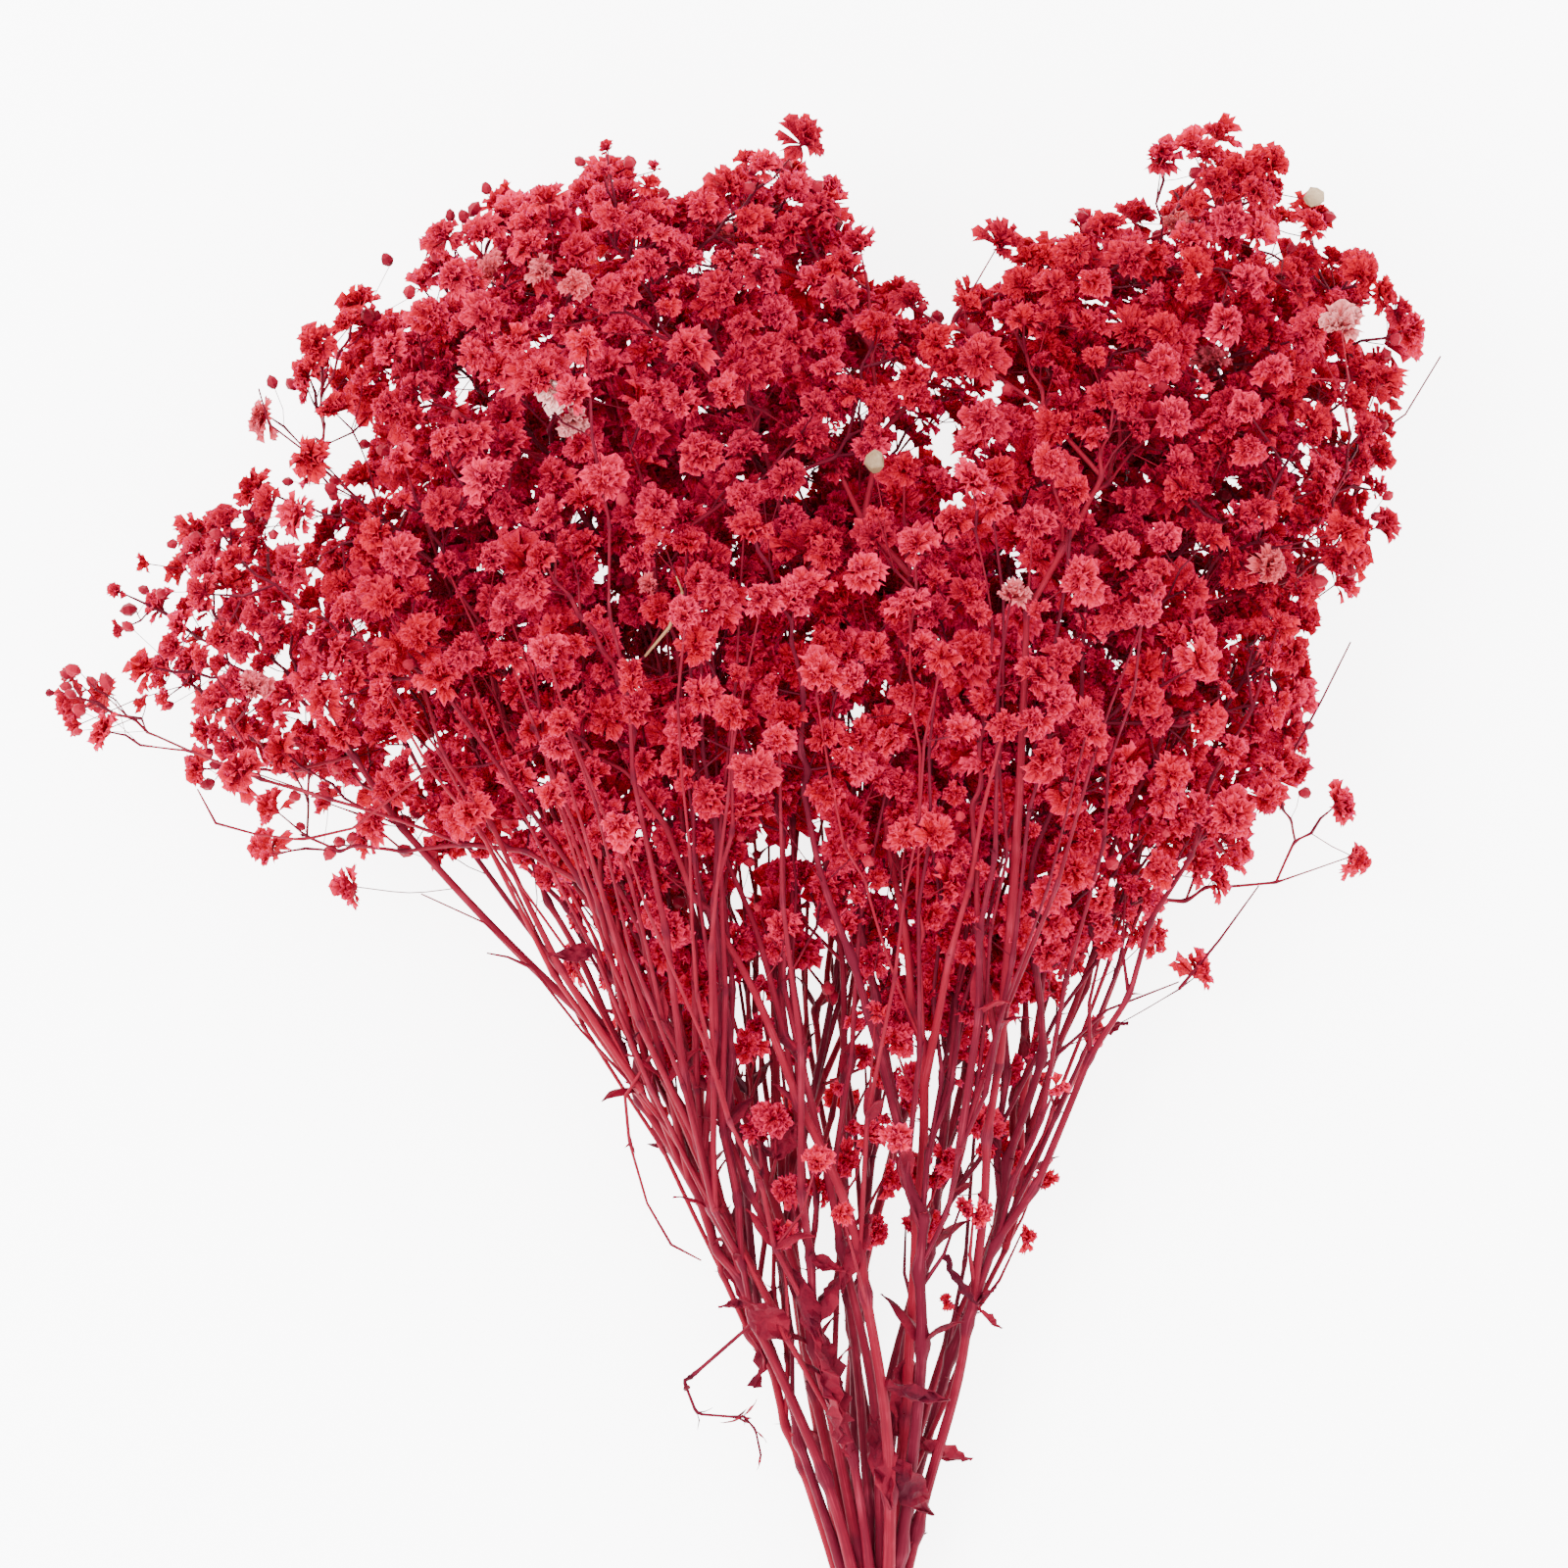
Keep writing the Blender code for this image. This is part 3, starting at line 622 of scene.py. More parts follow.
def grow():
    """The whole bunch as shoots, nearest goals first so that later ones fork from them."""
    random = np.random.default_rng(SEED)
    growth = Growth()
    main_stems(growth, random)
    taken = [shoot["points"][-1] for shoot in growth.shoots]
    coleaders(growth, random)
    for x, y in FEET:
        foot = np.array((x, y, SOLE))
        growth.reach(foot, BLOOM_RADIUS, BRANCH_RADIUS, FOOT_LONG, random, *ANY_WAY)
        taken.append(foot)
    edges = outline_goals(random)
    wanted = edges + crown_goals(random, BRANCHES_WANTED, BRANCH_SPACING, taken)
    for goal in sorted(wanted, key=np.linalg.norm):
        reach_near(growth, goal, BRANCH_RADIUS, BRANCH_LONG, random)
    count = BLOOM_COUNT - len(growth.shoots)
    more = crown_goals(random, count, BLOOM_SPACING, taken + wanted)
    for goal in sorted(more, key=np.linalg.norm):
        reach_near(growth, goal, TWIG_RADIUS, TWIG_LONG, random)
    return growth


SPRAYS = [f"spray_{k + 1:02d}" for k in range(len(slots()))]
solid = grow()
heads = [sum(s["bloom"] > 0 for s in solid.shoots if s["spray"] == k) for k in range(len(SPRAYS))]
print("blooms of each spray", heads)
for k, name in enumerate(SPRAYS):
    own = placed(np.vstack([s["points"] for s in solid.shoots if s["spray"] == k]))
    low, high = (np.array(corner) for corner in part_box(name))
    out = max((low - own.min(0)).max(), (own.max(0) - high).max())
    print(name, "stands out of its solid by", round(max(out, 0.0) / MM, 2), "mm")

# %% [markdown]
# ## Smooth stalks, and many more twigs
#
# The CAD model has a fifth of the full-size blooms, because its triangles are counted. Here the
# growth goes on. Its shoots are first drawn as smooth curves, with a joint every few
# millimetres. Slender stems then leave them low down; they lean back towards the stem that they
# left, so they run beside it for a while. Below the crown some branches leave at a wide angle,
# which makes the open forks that the plant is known by. After that the crown fills up: a grid
# over it counts the blooms over each cell, and the next bloom goes where most are lacking.
#
# Two things make it look like the plant: blooms are allowed to press into each other, and
# `fullness` asks for less in the lower crown, in the wing at the left and where daylight shows.

# %% Smooth the shoots
def smoothed(points, step):
    """A curve through the points, and the places of those points in it."""
    ends = np.vstack((2 * points[0] - points[1], points, 2 * points[-1] - points[-2]))
    way, marks = [points[0]], [0]
    for k in range(len(points) - 1):
        p0, p1, p2, p3 = ends[k:k + 4]
        pieces = max(1, round(np.linalg.norm(p2 - p1) / step))
        for t in np.arange(1, pieces + 1) / pieces:
            way.append(0.5 * (
                2 * p1 + (p2 - p0) * t + (2 * p0 - 5 * p1 + 4 * p2 - p3) * t * t
                + (3 * p1 - p0 - 3 * p2 + p3) * t ** 3
            ))
        marks.append(len(way) - 1)
    return np.array(way), marks


STALK_STEP = 5.0
LOWEST_JOINT_Y = 13.0
PETAL_GAP = 0.1
PRESSED = 0.6
FILL_HEAD_COST = 0.05
SHORTEST_HAIR = 4.5
THINNER = 0.6
full = Growth(gap=PETAL_GAP, head_room=PRESSED, head_cost=FILL_HEAD_COST, shortest=SHORTEST_HAIR)
marks_of = []
for shoot in solid.shoots:
    way, marks = smoothed(shoot["points"], STALK_STEP)
    marks_of.append(marks)
    origin = shoot["origin"]
    if origin[0] >= 0:
        origin = (origin[0], marks_of[origin[0]][origin[1]])
    rooms = np.where(way[:, 1] > LOWEST_JOINT_Y, 1, 0)
    own = (shoot["spray"], shoot["level"], rooms, shoot["bloom"])
    full.add(way, shoot["radius"] * THINNER, *own, origin)
print(len(full.joint), "joints to fork from")

# %% Slender stems
SLENDER_WANTED = 82
SLENDER_RADIUS = (0.6, 1.25)
SLENDER_WAY = (6, 24.0)
SLENDER_LEANS = (-0.45, -0.15, 0.1)
FAN_LEFT = ((838, 1600), (590, 1000))
FAN_RIGHT = ((950, 1600), (1130, 1000))
FAN_CHECK = 1100
SLENDER_FROM_Y = (18.0, 150.0)
SLENDER_ASIDE = (12.0, 20.0, 11.0)
SLENDER_SHORTER = (0.0, 30.0, 0.0)
SLENDER_LOWEST = 12.0
SLENDER_BLOOM = 5.0
SLENDER_LONG = 320.0
FROM_EDGE = 6.0
HIGHEST = 106.0
DRAWS = 2500


def fan_reach(pixel_y):
    """How far left and right the fan of stems reaches at one height of the photograph."""
    reach = []
    for (low_x, low_y), (high_x, high_y) in (FAN_LEFT, FAN_RIGHT):
        x = low_x + (high_x - low_x) * (pixel_y - low_y) / (high_y - low_y)
        reach.append(from_photo((x, pixel_y)))
    return reach


def inside_fan(joints, goal):
    """Whether the straight way from each joint to the goal stays in the fan of stems."""
    (left, y), (right, _) = fan_reach(FAN_CHECK)
    share = np.clip((y - joints[:, 1]) / np.maximum(goal[1] - joints[:, 1], 1.0), 0.0, 1.0)
    x = joints[:, 0] + share * (goal[0] - joints[:, 0])
    return (left < x) & (x < right)


def slender_stems(growth, random):
    """Thin branches that leave the stems low down and run beside them into the crown."""
    leads = [s["points"][-1] for s in growth.shoots if s["level"] == 0]
    made = 0
    for _ in range(DRAWS):
        if made == SLENDER_WANTED:
            break
        lead = leads[random.integers(len(leads))]
        goal = lead + random.normal(0, 1, 3) * SLENDER_ASIDE - SLENDER_SHORTER
        goal[2] = min(max(goal[2], SLENDER_LOWEST), HIGHEST)
        low = growth.joint[:, 1] < random.uniform(*SLENDER_FROM_Y)
        low &= inside_fan(growth.joint, goal)
        thick = random.uniform(*SLENDER_RADIUS)
        if edge_distance(goal)[0] < FROM_EDGE:
            continue
        way = (SLENDER_LONG, random, *SLENDER_WAY, low, SLENDER_LEANS)
        if growth.reach(goal, SLENDER_BLOOM, thick * THINNER, *way):
            growth.shoots[-1]["slender"] = thick
            made += 1
    return made


random = np.random.default_rng(SEED + 2)
print("slender stems", slender_stems(full, random))

# %% Wide forks
FORKS_WANTED = 92
FORK_FROM = (880, 1270)
FORK_LONG = (18.0, 62.0)
FORK_LEANS = (1.1, 0.75, 0.4)
FORK_RADIUS = (0.4, 0.75)
FORK_BLOOM = (3.6, 5.4)
FORK_VARY = 14
FORK_WAY = (10, 40.0)
FORK_UPWARDS = 0.8


def wide_forks(growth, random):
    """Branches that leave a stem at a wide angle below the crown and then bend up."""
    made = 0
    for _ in range(DRAWS):
        if made == FORKS_WANTED:
            break
        pixel_y = random.uniform(*FORK_FROM)
        (left, y), (right, _) = fan_reach(pixel_y)
        x = random.uniform(left, right)
        goal = np.array((x, y, axis_height(y) + random.normal(0, FORK_VARY)))
        away = np.linalg.norm(growth.joint - goal, axis=1)
        far = (away > FORK_LONG[0]) & (goal[1] - growth.joint[:, 1] > FORK_UPWARDS * away)
        size = random.uniform(*FORK_BLOOM)
        way = (FORK_LONG[1], random, *FORK_WAY, far, FORK_LEANS)
        if growth.reach(goal, size, FORK_RADIUS[0], *way):
            growth.shoots[-1]["slender"] = random.uniform(*FORK_RADIUS)
            made += 1
    return made


print("wide forks", wide_forks(full, random))

# %% [markdown]
# ## Twigs one would recognise
#
# A few bare twigs stand apart from the rest and catch the eye: one that was kinked twice when the
# bunch was packed, one that hangs out at the left, and some at the edges whose blooms broke off.
# Each is a list of places in the photograph, and starts on the stalk nearest to its first one.
# One twig high in the crown took no dye and stayed the colour of straw.

# %% Bare twigs
KINKED_TWIG = ((762, 1350), (697, 1415), (709, 1451), (757, 1452), (771, 1466), (776, 1494))
DROOPING_TWIG = ((420, 812), (370, 845), (320, 858), (275, 850), (235, 835), (215, 805))
BOWED_TWIG = ((655, 1078), (632, 1120), (637, 1165), (660, 1225), (690, 1265), (716, 1284))
LONG_TWIG = (
    (735, 1225), (690, 1165), (640, 1110), (592, 1052), (545, 985), (495, 940), (430, 912),
)
EDGE_TWIGS = (
    ((1330, 790), (1350, 715), (1378, 655)), ((1228, 1010), (1250, 960), (1290, 905)),
    ((1400, 470), (1432, 425), (1466, 366)), ((1062, 1092), (1130, 1032), (1205, 1003)),
    ((1180, 215), (1183, 188), (1181, 150)), ((545, 985), (520, 975), (498, 972)),
    ((300, 480), (282, 440), (274, 404)), ((640, 262), (628, 215), (622, 168)),
)
STRAW_TWIG = ((680, 676), (690, 642), (702, 610), (694, 596))
KINK_ROOM = 0.12
TWIG_THICK = 0.52
TWIG_ABOVE = 6.0
TWIG_RISE = 5.0
TWIG_LEVEL = 3
STRAW_RISE = 38.0
UPPER_FIRST = 0.25
THICK_ENOUGH = 0.2
STEM_ENOUGH = 0.5


def stout(shoot):
    return shoot.get("slender", shoot["radius"])


def nearest_on(growth, pixel, lowest):
    """The stout shoot, and its point, that pass nearest to a place in the photograph."""
    place = np.array(from_photo(pixel))
    best = (math.inf, 0, 1)
    for number, shoot in enumerate(growth.shoots):
        points = shoot["points"][1:-1]
        if not len(points):
            continue
        far = np.hypot(*(points[:, :2] - place).T) - UPPER_FIRST * points[:, 2]
        far = far + NEVER * (stout(shoot) < lowest)
        k = np.argmin(far)
        best = min(best, (far[k], number, k + 1))
    return best[1], best[2]


def bare_twig(growth, pixels, kinked=False, lowest=THICK_ENOUGH, rise=TWIG_RISE):
    """A twig without a bloom through the places given, a little higher at its end."""
    number, at = nearest_on(growth, pixels[0], lowest)
    parent = growth.shoots[number]
    start = parent["points"][at]
    rise = min(rise, HIGHEST + TWIG_ABOVE - start[2])
    places = [start] + [np.array((*from_photo(p), start[2])) for p in pixels[1:]]
    if kinked:
        pairs = [(a, b, (b - a) * KINK_ROOM) for a, b in zip(places, places[1:])]
        places = [p for a, b, room in pairs for p in (a, a + room, b - room)] + [places[-1]]
    points = np.array(places) + np.linspace(0, 1, len(places))[:, None] * (0.0, 0.0, rise)
    rooms = np.ones(len(points), int)
    growth.add(points, TWIG_THICK, parent["spray"], TWIG_LEVEL, rooms, 0.0, (number, at))
    growth.shoots[-1]["slender"] = TWIG_THICK


bare_twig(full, KINKED_TWIG, True, STEM_ENOUGH)
for pixels in (DROOPING_TWIG, BOWED_TWIG, LONG_TWIG, *EDGE_TWIGS):
    bare_twig(full, pixels)
bare_twig(full, STRAW_TWIG, rise=STRAW_RISE)
full.shoots[-1]["undyed"] = True
print("shoots so far", len(full.shoots))

# %% Fill the crown
DAYLIGHT = (
    (340, 440, 42), (300, 560, 30), (425, 300, 34), (480, 395, 16), (415, 770, 30), (860, 745, 20),
    (905, 700, 18), (1232, 640, 14), (1330, 660, 22), (960, 450, 26), (1002, 405, 24),
    (1240, 790, 22), (1130, 300, 16), (820, 860, 28), (770, 870, 22), (840, 930, 26),
    (350, 500, 24), (1390, 620, 24), (1160, 860, 22), (930, 880, 10), (1215, 720, 12),
    (1385, 235, 34), (1290, 245, 22), (1385, 345, 24), (1345, 460, 18), (330, 830, 44),
    (240, 800, 34), (130, 655, 34), (90, 740, 30), (1235, 260, 20), (1090, 420, 16),
    (470, 210, 26), (310, 690, 22), (1190, 1020, 26), (1120, 1050, 24),
)
CLUSTERS = (
    (600, 905, 42), (640, 1000, 42), (700, 1055, 30), (800, 968, 24), (900, 1045, 40),
    (960, 1000, 40), (1030, 1000, 44), (1080, 940, 36), (1150, 950, 26), (1240, 870, 30),
    (1018, 1180, 24), (990, 1060, 26), (925, 1180, 12), (960, 900, 40), (720, 985, 30),
)
CLUSTER_SHARE = 0.8
BLOOMS_WANTED = 2020
LAYERS = 5.0
CELL = 2.5
SMALL_SHARE = 0.27
SMALL_BLOOM = (3.0, 4.2)
LARGE_BLOOM = (4.6, 6.3)
RAGGED_EDGE = 9.0
FROM_STEMS = (0.22, 0.78, 1075, 260)
FROM_LEFT = (0.58, 0.42, 110, 300)
EVEN_SHARE = 0.90
PATCHY_SHARE = 0.20
PATCHES = (23.0, 26.0)
RAGGED_SHARE = 0.5
RAGGED = (17.0, 14.0)
EDGE_LEAST = 0.3
THROUGH_GAP = 0.8
HEAD_COVERS = 0.85
OUT_OF_CROWN = (1.04, 3.0)
LOWEST_BLOOM = 8.5
FILL_RADIUS = 0.22
FILL_LONG = 50.0
FILL_TRIES = (8, 74.0)
GIVEN_UP = 0.25
CELLS_INSIDE = 3.0
LACK_CHANCE = 0.9
CELL_ASIDE = 1.5
DRAWS_A_BLOOM = 4


def fullness(places):
    """The share of the fullest part's blooms that each place in the crown bears."""
    x = places[:, 0] / PIXEL + NECK_PIXEL[0]
    y = NECK_PIXEL[1] - places[:, 1] / PIXEL
    least, more, edge, span = FROM_STEMS
    share = least + more * np.clip((edge - y) / span, 0.0, 1.0)
    least, more, edge, span = FROM_LEFT
    share *= least + more * np.clip((x - edge) / span, 0.0, 1.0)
    waves = PATCHY_SHARE * np.sin(x / PATCHES[0]) * np.sin(y / PATCHES[1] + 1.0)
    share *= EVEN_SHARE + waves
    waves = RAGGED_SHARE * np.sin(x / RAGGED[0] + 2.0) * np.sin(y / RAGGED[1])
    ragged = edge_distance(places) * (1.0 + waves)
    share *= np.clip(ragged / RAGGED_EDGE, EDGE_LEAST, 1.0)
    for gap_x, gap_y, wide in DAYLIGHT:
        share *= 1 - THROUGH_GAP * np.exp(-((x - gap_x) ** 2 + (y - gap_y) ** 2) / wide ** 2)
    for knot_x, knot_y, wide in CLUSTERS:
        share += CLUSTER_SHARE * np.exp(-((x - knot_x) ** 2 + (y - knot_y) ** 2) / wide ** 2)
    return share


def crown_cells():
    """A fine grid over the crown and the clusters below it, seen from above."""
    places = [from_photo(cluster[:2]) for cluster in CLUSTERS]
    low, high = CORNERS.min(0), CORNERS.max(0)
    low = np.minimum(low, np.min(places, axis=0) - BLOOM_RADIUS)
    across, along = np.arange(low[0], high[0], CELL), np.arange(low[1], high[1], CELL)
    cells = np.stack(np.meshgrid(across, along), -1).reshape(-1, 2)
    kept = edge_distance(cells) > CELLS_INSIDE
    for place, cluster in zip(places, CLUSTERS):
        kept |= np.hypot(*(cells - place).T) < cluster[2] * PIXEL
    return cells[kept]


def fill_crown(growth, random):
    """Each bloom goes where the view from above still lacks blooms most, at any depth."""
    cells = crown_cells()
    lack = LAYERS * fullness(cells)
    for ball, size in zip(growth.ball, growth.ball_radius):
        lack -= np.hypot(*(cells - ball[:2]).T) < size / PRESSED * HEAD_COVERS
    made = 0
    for _ in range(DRAWS_A_BLOOM * BLOOMS_WANTED):
        if made == BLOOMS_WANTED:
            break
        k = np.argmax(lack + random.uniform(0, LACK_CHANCE, len(cells)))
        place = cells[k] + random.uniform(-CELL_ASIDE, CELL_ASIDE, 2)
        deep = half_depth(max(edge_distance(place)[0], 0.0)) * OUT_OF_CROWN[0] + OUT_OF_CROWN[1]
        level = axis_height(place[1])
        top = min(level + deep, HIGHEST)
        goal = np.array((*place, random.uniform(max(level - deep, LOWEST_BLOOM), top)))
        small = random.random() < SMALL_SHARE
        size = random.uniform(*(SMALL_BLOOM if small else LARGE_BLOOM))
        if growth.reach(goal, size, FILL_RADIUS, FILL_LONG, random, *FILL_TRIES):
            lack -= np.hypot(*(cells - goal[:2]).T) < size * HEAD_COVERS
            made += 1
        else:
            lack[k] -= GIVEN_UP
    return made


print("more blooms", fill_crown(full, random))

# %% [markdown]
# ## Buds
#
# Gypsophila opens over weeks, so a cut bunch always carries closed buds: hard round beads on
# hairs, most of them at the tips and along the lower edge. In the growth they are shoots whose
# bloom is small, which marks them. Two big ones in plain sight never took the dye.

# %% Buds on their hairs
BUDS_WANTED = 300
BUD_RADIUS = (1.3, 2.2)
TIP_BUDS = ((66, 690), (50, 706), (73, 710), (68, 728), (83, 725), (80, 745), (90, 700))
BARE_BUDS = ((890, 490), (1325, 213))
BARE_BUD_RADIUS = 2.9
TIP_RADIUS = (1.1, 1.7)
TIP_RISE = 5
FAR_RISE = 8
BUD_RISE = 6.0
BUD_HAIR = 0.15
TIP_HAIR = 0.18
BARE_HAIR = 0.2
HAIR_LONG = 34.0
LOW_EDGE_Y = 210.0
BUD_SKIPPED = 0.86
BUD_DRAWS = 9000
BUD_EDGE = (1.5, 14.0)
BUD_OUT = 2.0
LOWEST_BUD = 6.0
HAIR_WAY = (8, 70.0)
FAR_TIPS = (
    (66, 690, 3.4), (76, 738, 3.6), (1388, 876, 4.4), (1370, 822, 4.8), (272, 875, 2.6),
    (360, 908, 3.2), (182, 785, 2.4), (122, 604, 3.0), (122, 640, 3.2), (150, 575, 3.6),
    (640, 172, 2.4), (668, 176, 2.6), (622, 160, 2.6), (762, 170, 3.4), (792, 176, 3.0),
    (1012, 1186, 4.2), (1034, 1190, 3.6), (1002, 1226, 3.0), (926, 1180, 3.2), (856, 1112, 2.6),
    (906, 1140, 3.2), (872, 1152, 2.4), (968, 1338, 2.6), (1018, 1156, 3.0), (686, 1062, 4.4),
    (648, 1015, 5.0), (668, 1030, 4.6), (630, 1000, 4.4), (800, 968, 4.6), (860, 922, 4.4),
)


def grow_buds(growth, random):
    """Buds at the known tips first, then wherever there is a free place near the edge."""
    low, high = CORNERS.min(0), CORNERS.max(0)
    grown = 0
    for pixel in TIP_BUDS:
        place = from_photo(pixel)
        height = axis_height(place[1]) + random.uniform(-TIP_RISE, TIP_RISE)
        goal = np.array((*place, height))
        size = random.uniform(*TIP_RADIUS)
        grown += growth.reach(goal, size, BUD_HAIR, TWIG_LONG, random, *ANY_WAY)
    for x, y, size in FAR_TIPS:
        place = from_photo((x, y))
        height = axis_height(place[1]) + random.uniform(-FAR_RISE, FAR_RISE)
        goal = np.array((*place, height))
        grown += growth.reach(goal, size, TIP_HAIR, TWIG_LONG, random, *ANY_WAY)
    for pixel in BARE_BUDS:
        place = from_photo(pixel)
        top = axis_height(place[1]) + half_depth(max(edge_distance(place)[0], 0.0)) + BUD_RISE
        goal = np.array((*place, min(top, HIGHEST)))
        if growth.reach(goal, BARE_BUD_RADIUS, BARE_HAIR, TWIG_LONG, random, *ANY_WAY):
            growth.shoots[-1]["undyed"] = True
            grown += 1
    for _ in range(BUD_DRAWS):
        if grown >= BUDS_WANTED:
            break
        place = random.uniform(low, high)
        inside = edge_distance(place)[0]
        edge = inside < BUD_EDGE[1] or place[1] < LOW_EDGE_Y
        if inside < BUD_EDGE[0] or (not edge and random.random() < BUD_SKIPPED):
            continue
        level, deep = axis_height(place[1]), half_depth(inside) + BUD_OUT
        height = np.clip(random.uniform(level - deep, level + deep), LOWEST_BUD, HIGHEST)
        goal = np.array((*place, height))
        size = random.uniform(*BUD_RADIUS)
        grown += growth.reach(goal, size, BUD_HAIR, HAIR_LONG, random, *HAIR_WAY)
    return grown


print("buds", grow_buds(full, random))
print("shoots in all", len(full.shoots))

# %% [markdown]
# ## How thick each stalk is
#
# A stalk is as thick as what it carries: count the blooms beyond each point, raise the count to
# a power a little under one half, and the forks look right at every scale. Joints swell,
# because gypsophila's stem is knotted where its leaves and branches leave it. It also turns a
# little at every joint, one way and then the other, so no stalk is quite straight.

# %% Thickness from load
HAIR = 0.19
LOAD_POWER = 0.43
BUD_LIMIT = 2.3
BUD_LOAD = 0.35
CROWN_FROM_Y = 150.0
CROWN_OVER = 110.0
CROWN_THIN = 0.42
THIN_ABOVE = 0.35
STEM_FROM_Y = 14.0
STEM_OVER = 200.0
STEM_POWER = 0.8
STEM_THIN = 0.46
STEM_STOUT = 1.6
STEM_UNLIKE = 0.24
STEM_SORTS = 5
SORT_STEP = 7
TAPER = 0.6
SMOOTHINGS = 3


def load_stalks(shoots):
    """The load at every point of every shoot, from the tips down."""
    for shoot in shoots:
        own = 1.0 if shoot["bloom"] > BUD_LIMIT else BUD_LOAD
        shoot["load"] = np.full(len(shoot["points"]), own)
        shoot["forks"] = []
    for shoot in reversed(shoots):
        parent, at = shoot["origin"]
        if parent >= 0:
            shoots[parent]["load"][:at + 1] += shoot["load"][0]
            shoots[parent]["forks"].append((at, shoot["load"][0]))


def stalk_radius(shoot):
    """The radius in mm at every point: by load, but never thicker than the solid stem."""
    radius = HAIR * shoot["load"] ** LOAD_POWER
    share = np.linspace(0, 1, len(radius))
    if "slender" in shoot:
        radius = np.maximum(radius, shoot["slender"] * (1 - TAPER * share))
    y = shoot["points"][:, 1]
    if shoot["level"] == 0:
        past = np.clip((y - STEM_FROM_Y) / STEM_OVER, 0.0, 1.0) ** STEM_POWER
        sort = shoot["spray"] * SORT_STEP % STEM_SORTS
        own = 1.0 - STEM_UNLIKE * sort / (STEM_SORTS - 1)
        most = STEM_RADIUS * (1 - STEM_THIN * past) * np.where(y > STEM_FROM_Y, own, 1.0)
        radius = np.minimum(radius * STEM_STOUT, most)
    inside = np.clip((y - CROWN_FROM_Y) / CROWN_OVER, 0.0, 1.0)
    radius = radius * (1 - CROWN_THIN * inside * (radius > THIN_ABOVE))
    for _ in range(SMOOTHINGS):
        radius[1:-1] = (radius[:-2] + 2 * radius[1:-1] + radius[2:]) / 4
    return radius


load_stalks(full.shoots)
thickest = max(stalk_radius(s)[0] for s in full.shoots if s["level"] == 1)
print("the thickest branch is", round(2 * thickest, 2), "mm across")

# %% The joints that show
NODE_EVERY = 11
FIRST_NODE = 7
NODE_GAIN = 5.0
LEAST_NODE = 0.25
SLENDER_NODE = 0.7
SLENDER_EVERY = 2
LONG_ENOUGH = 5
NODE_STEP = 5


def nodes_of(shoot):
    """The joints that show: where each is, and how much of the stalk's load leaves there."""
    count = len(shoot["points"])
    found = {}
    for at, load in shoot["forks"]:
        found[at] = min(1.0, found.get(at, 0.0) + NODE_GAIN * load / shoot["load"][at])
    if shoot["level"] == 0:
        first = FIRST_NODE + shoot["spray"] * NODE_STEP % NODE_EVERY
        found.update({k: 1.0 for k in range(first, count - 1, NODE_EVERY)})
    elif "slender" in shoot and count > LONG_ENOUGH:
        found.update({k: SLENDER_NODE for k in range(SLENDER_EVERY, count - 1, SLENDER_EVERY)})
    return {at: share for at, share in found.items() if share > LEAST_NODE and 0 < at < count - 1}


print("nodes that show", sum(len(nodes_of(s)) for s in full.shoots))

# %% A kink at each joint
KINK = 0.055
KINK_MOST = 1.4
KINK_FROM_Y = (20.0, 70.0)
KINK_TURN = 0.5
KINK_VARY = (0.5, 1.2)


def kink_stalks(shoots, random):
    """Moves each stalk's joints aside in turn; a branch starts where its joint has gone."""
    for shoot in shoots:
        points, (parent, at) = shoot["points"], shoot["origin"]
        moved = np.zeros((len(points), 3))
        if parent >= 0:
            moved[0] = shoots[parent]["moved"][at]
        joints = [0, *sorted(nodes_of(shoot)), len(points) - 1]
        side = random.choice((-1.0, 1.0))
        for before, k, after in zip(joints, joints[1:], joints[2:]):
            along = points[after] - points[before]
            length = np.linalg.norm(along)
            aside = unit(np.cross(along, random.normal(0, KINK_TURN, 3) + (0.0, 0.0, 1.0)))
            low = np.interp(points[k][1], KINK_FROM_Y, (0.0, 1.0))
            far = min(KINK * length, KINK_MOST)
            moved[k] = aside * side * low * far * random.uniform(*KINK_VARY)
            side = -side
        for row in range(3):
            moved[:, row] = np.interp(np.arange(len(points)), joints, moved[joints, row])
        shoot["moved"] = moved
    for shoot in shoots:
        shoot["points"] = shoot["points"] + shoot["moved"]


kink_stalks(full.shoots, np.random.default_rng(SEED + 6))
print("furthest kink", round(max(np.abs(s["moved"]).max() for s in full.shoots), 2), "mm")

# %% [markdown]
# ## Reckoning with nodes
#
# Shader and geometry trees are easier to read as expressions. `Wire` wraps a node's output, and
# an operator on wires adds the Math node that it stands for. `Bench.node` makes any other node:
# its settings first, then the values or wires of its inputs.

# %% A bench for node trees
class Wire:
    """A node's output. Sums and products of wires add their Math nodes."""

    def __init__(self, bench, node, socket):
        self.bench, self.made, self.socket = bench, node, socket

    def out(self, name):
        return Wire(self.bench, self.made, self.made.outputs[name])

    def maths(self, operation, first, second, clamp=False):
        settings = {"operation": operation, "use_clamp": clamp}
        return self.bench.node("ShaderNodeMath", settings, {0: first, 1: second})

    def __add__(self, other):
        return self.maths("ADD", self, other)

    def __radd__(self, other):
        return self.maths("ADD", other, self)

    def __sub__(self, other):
        return self.maths("SUBTRACT", self, other)

    def __rsub__(self, other):
        return self.maths("SUBTRACT", other, self)

    def __mul__(self, other):
        return self.maths("MULTIPLY", self, other)

    def __rmul__(self, other):
        return self.maths("MULTIPLY", other, self)

    def __truediv__(self, other):
        return self.maths("DIVIDE", self, other)

    def __pow__(self, other):
        return self.maths("POWER", self, other)

    def clamped(self):
        return self.maths("ADD", self, 0.0, True)

    def waves(self):
        return self.maths("SINE", self, 0.0) * 0.5 + 0.5


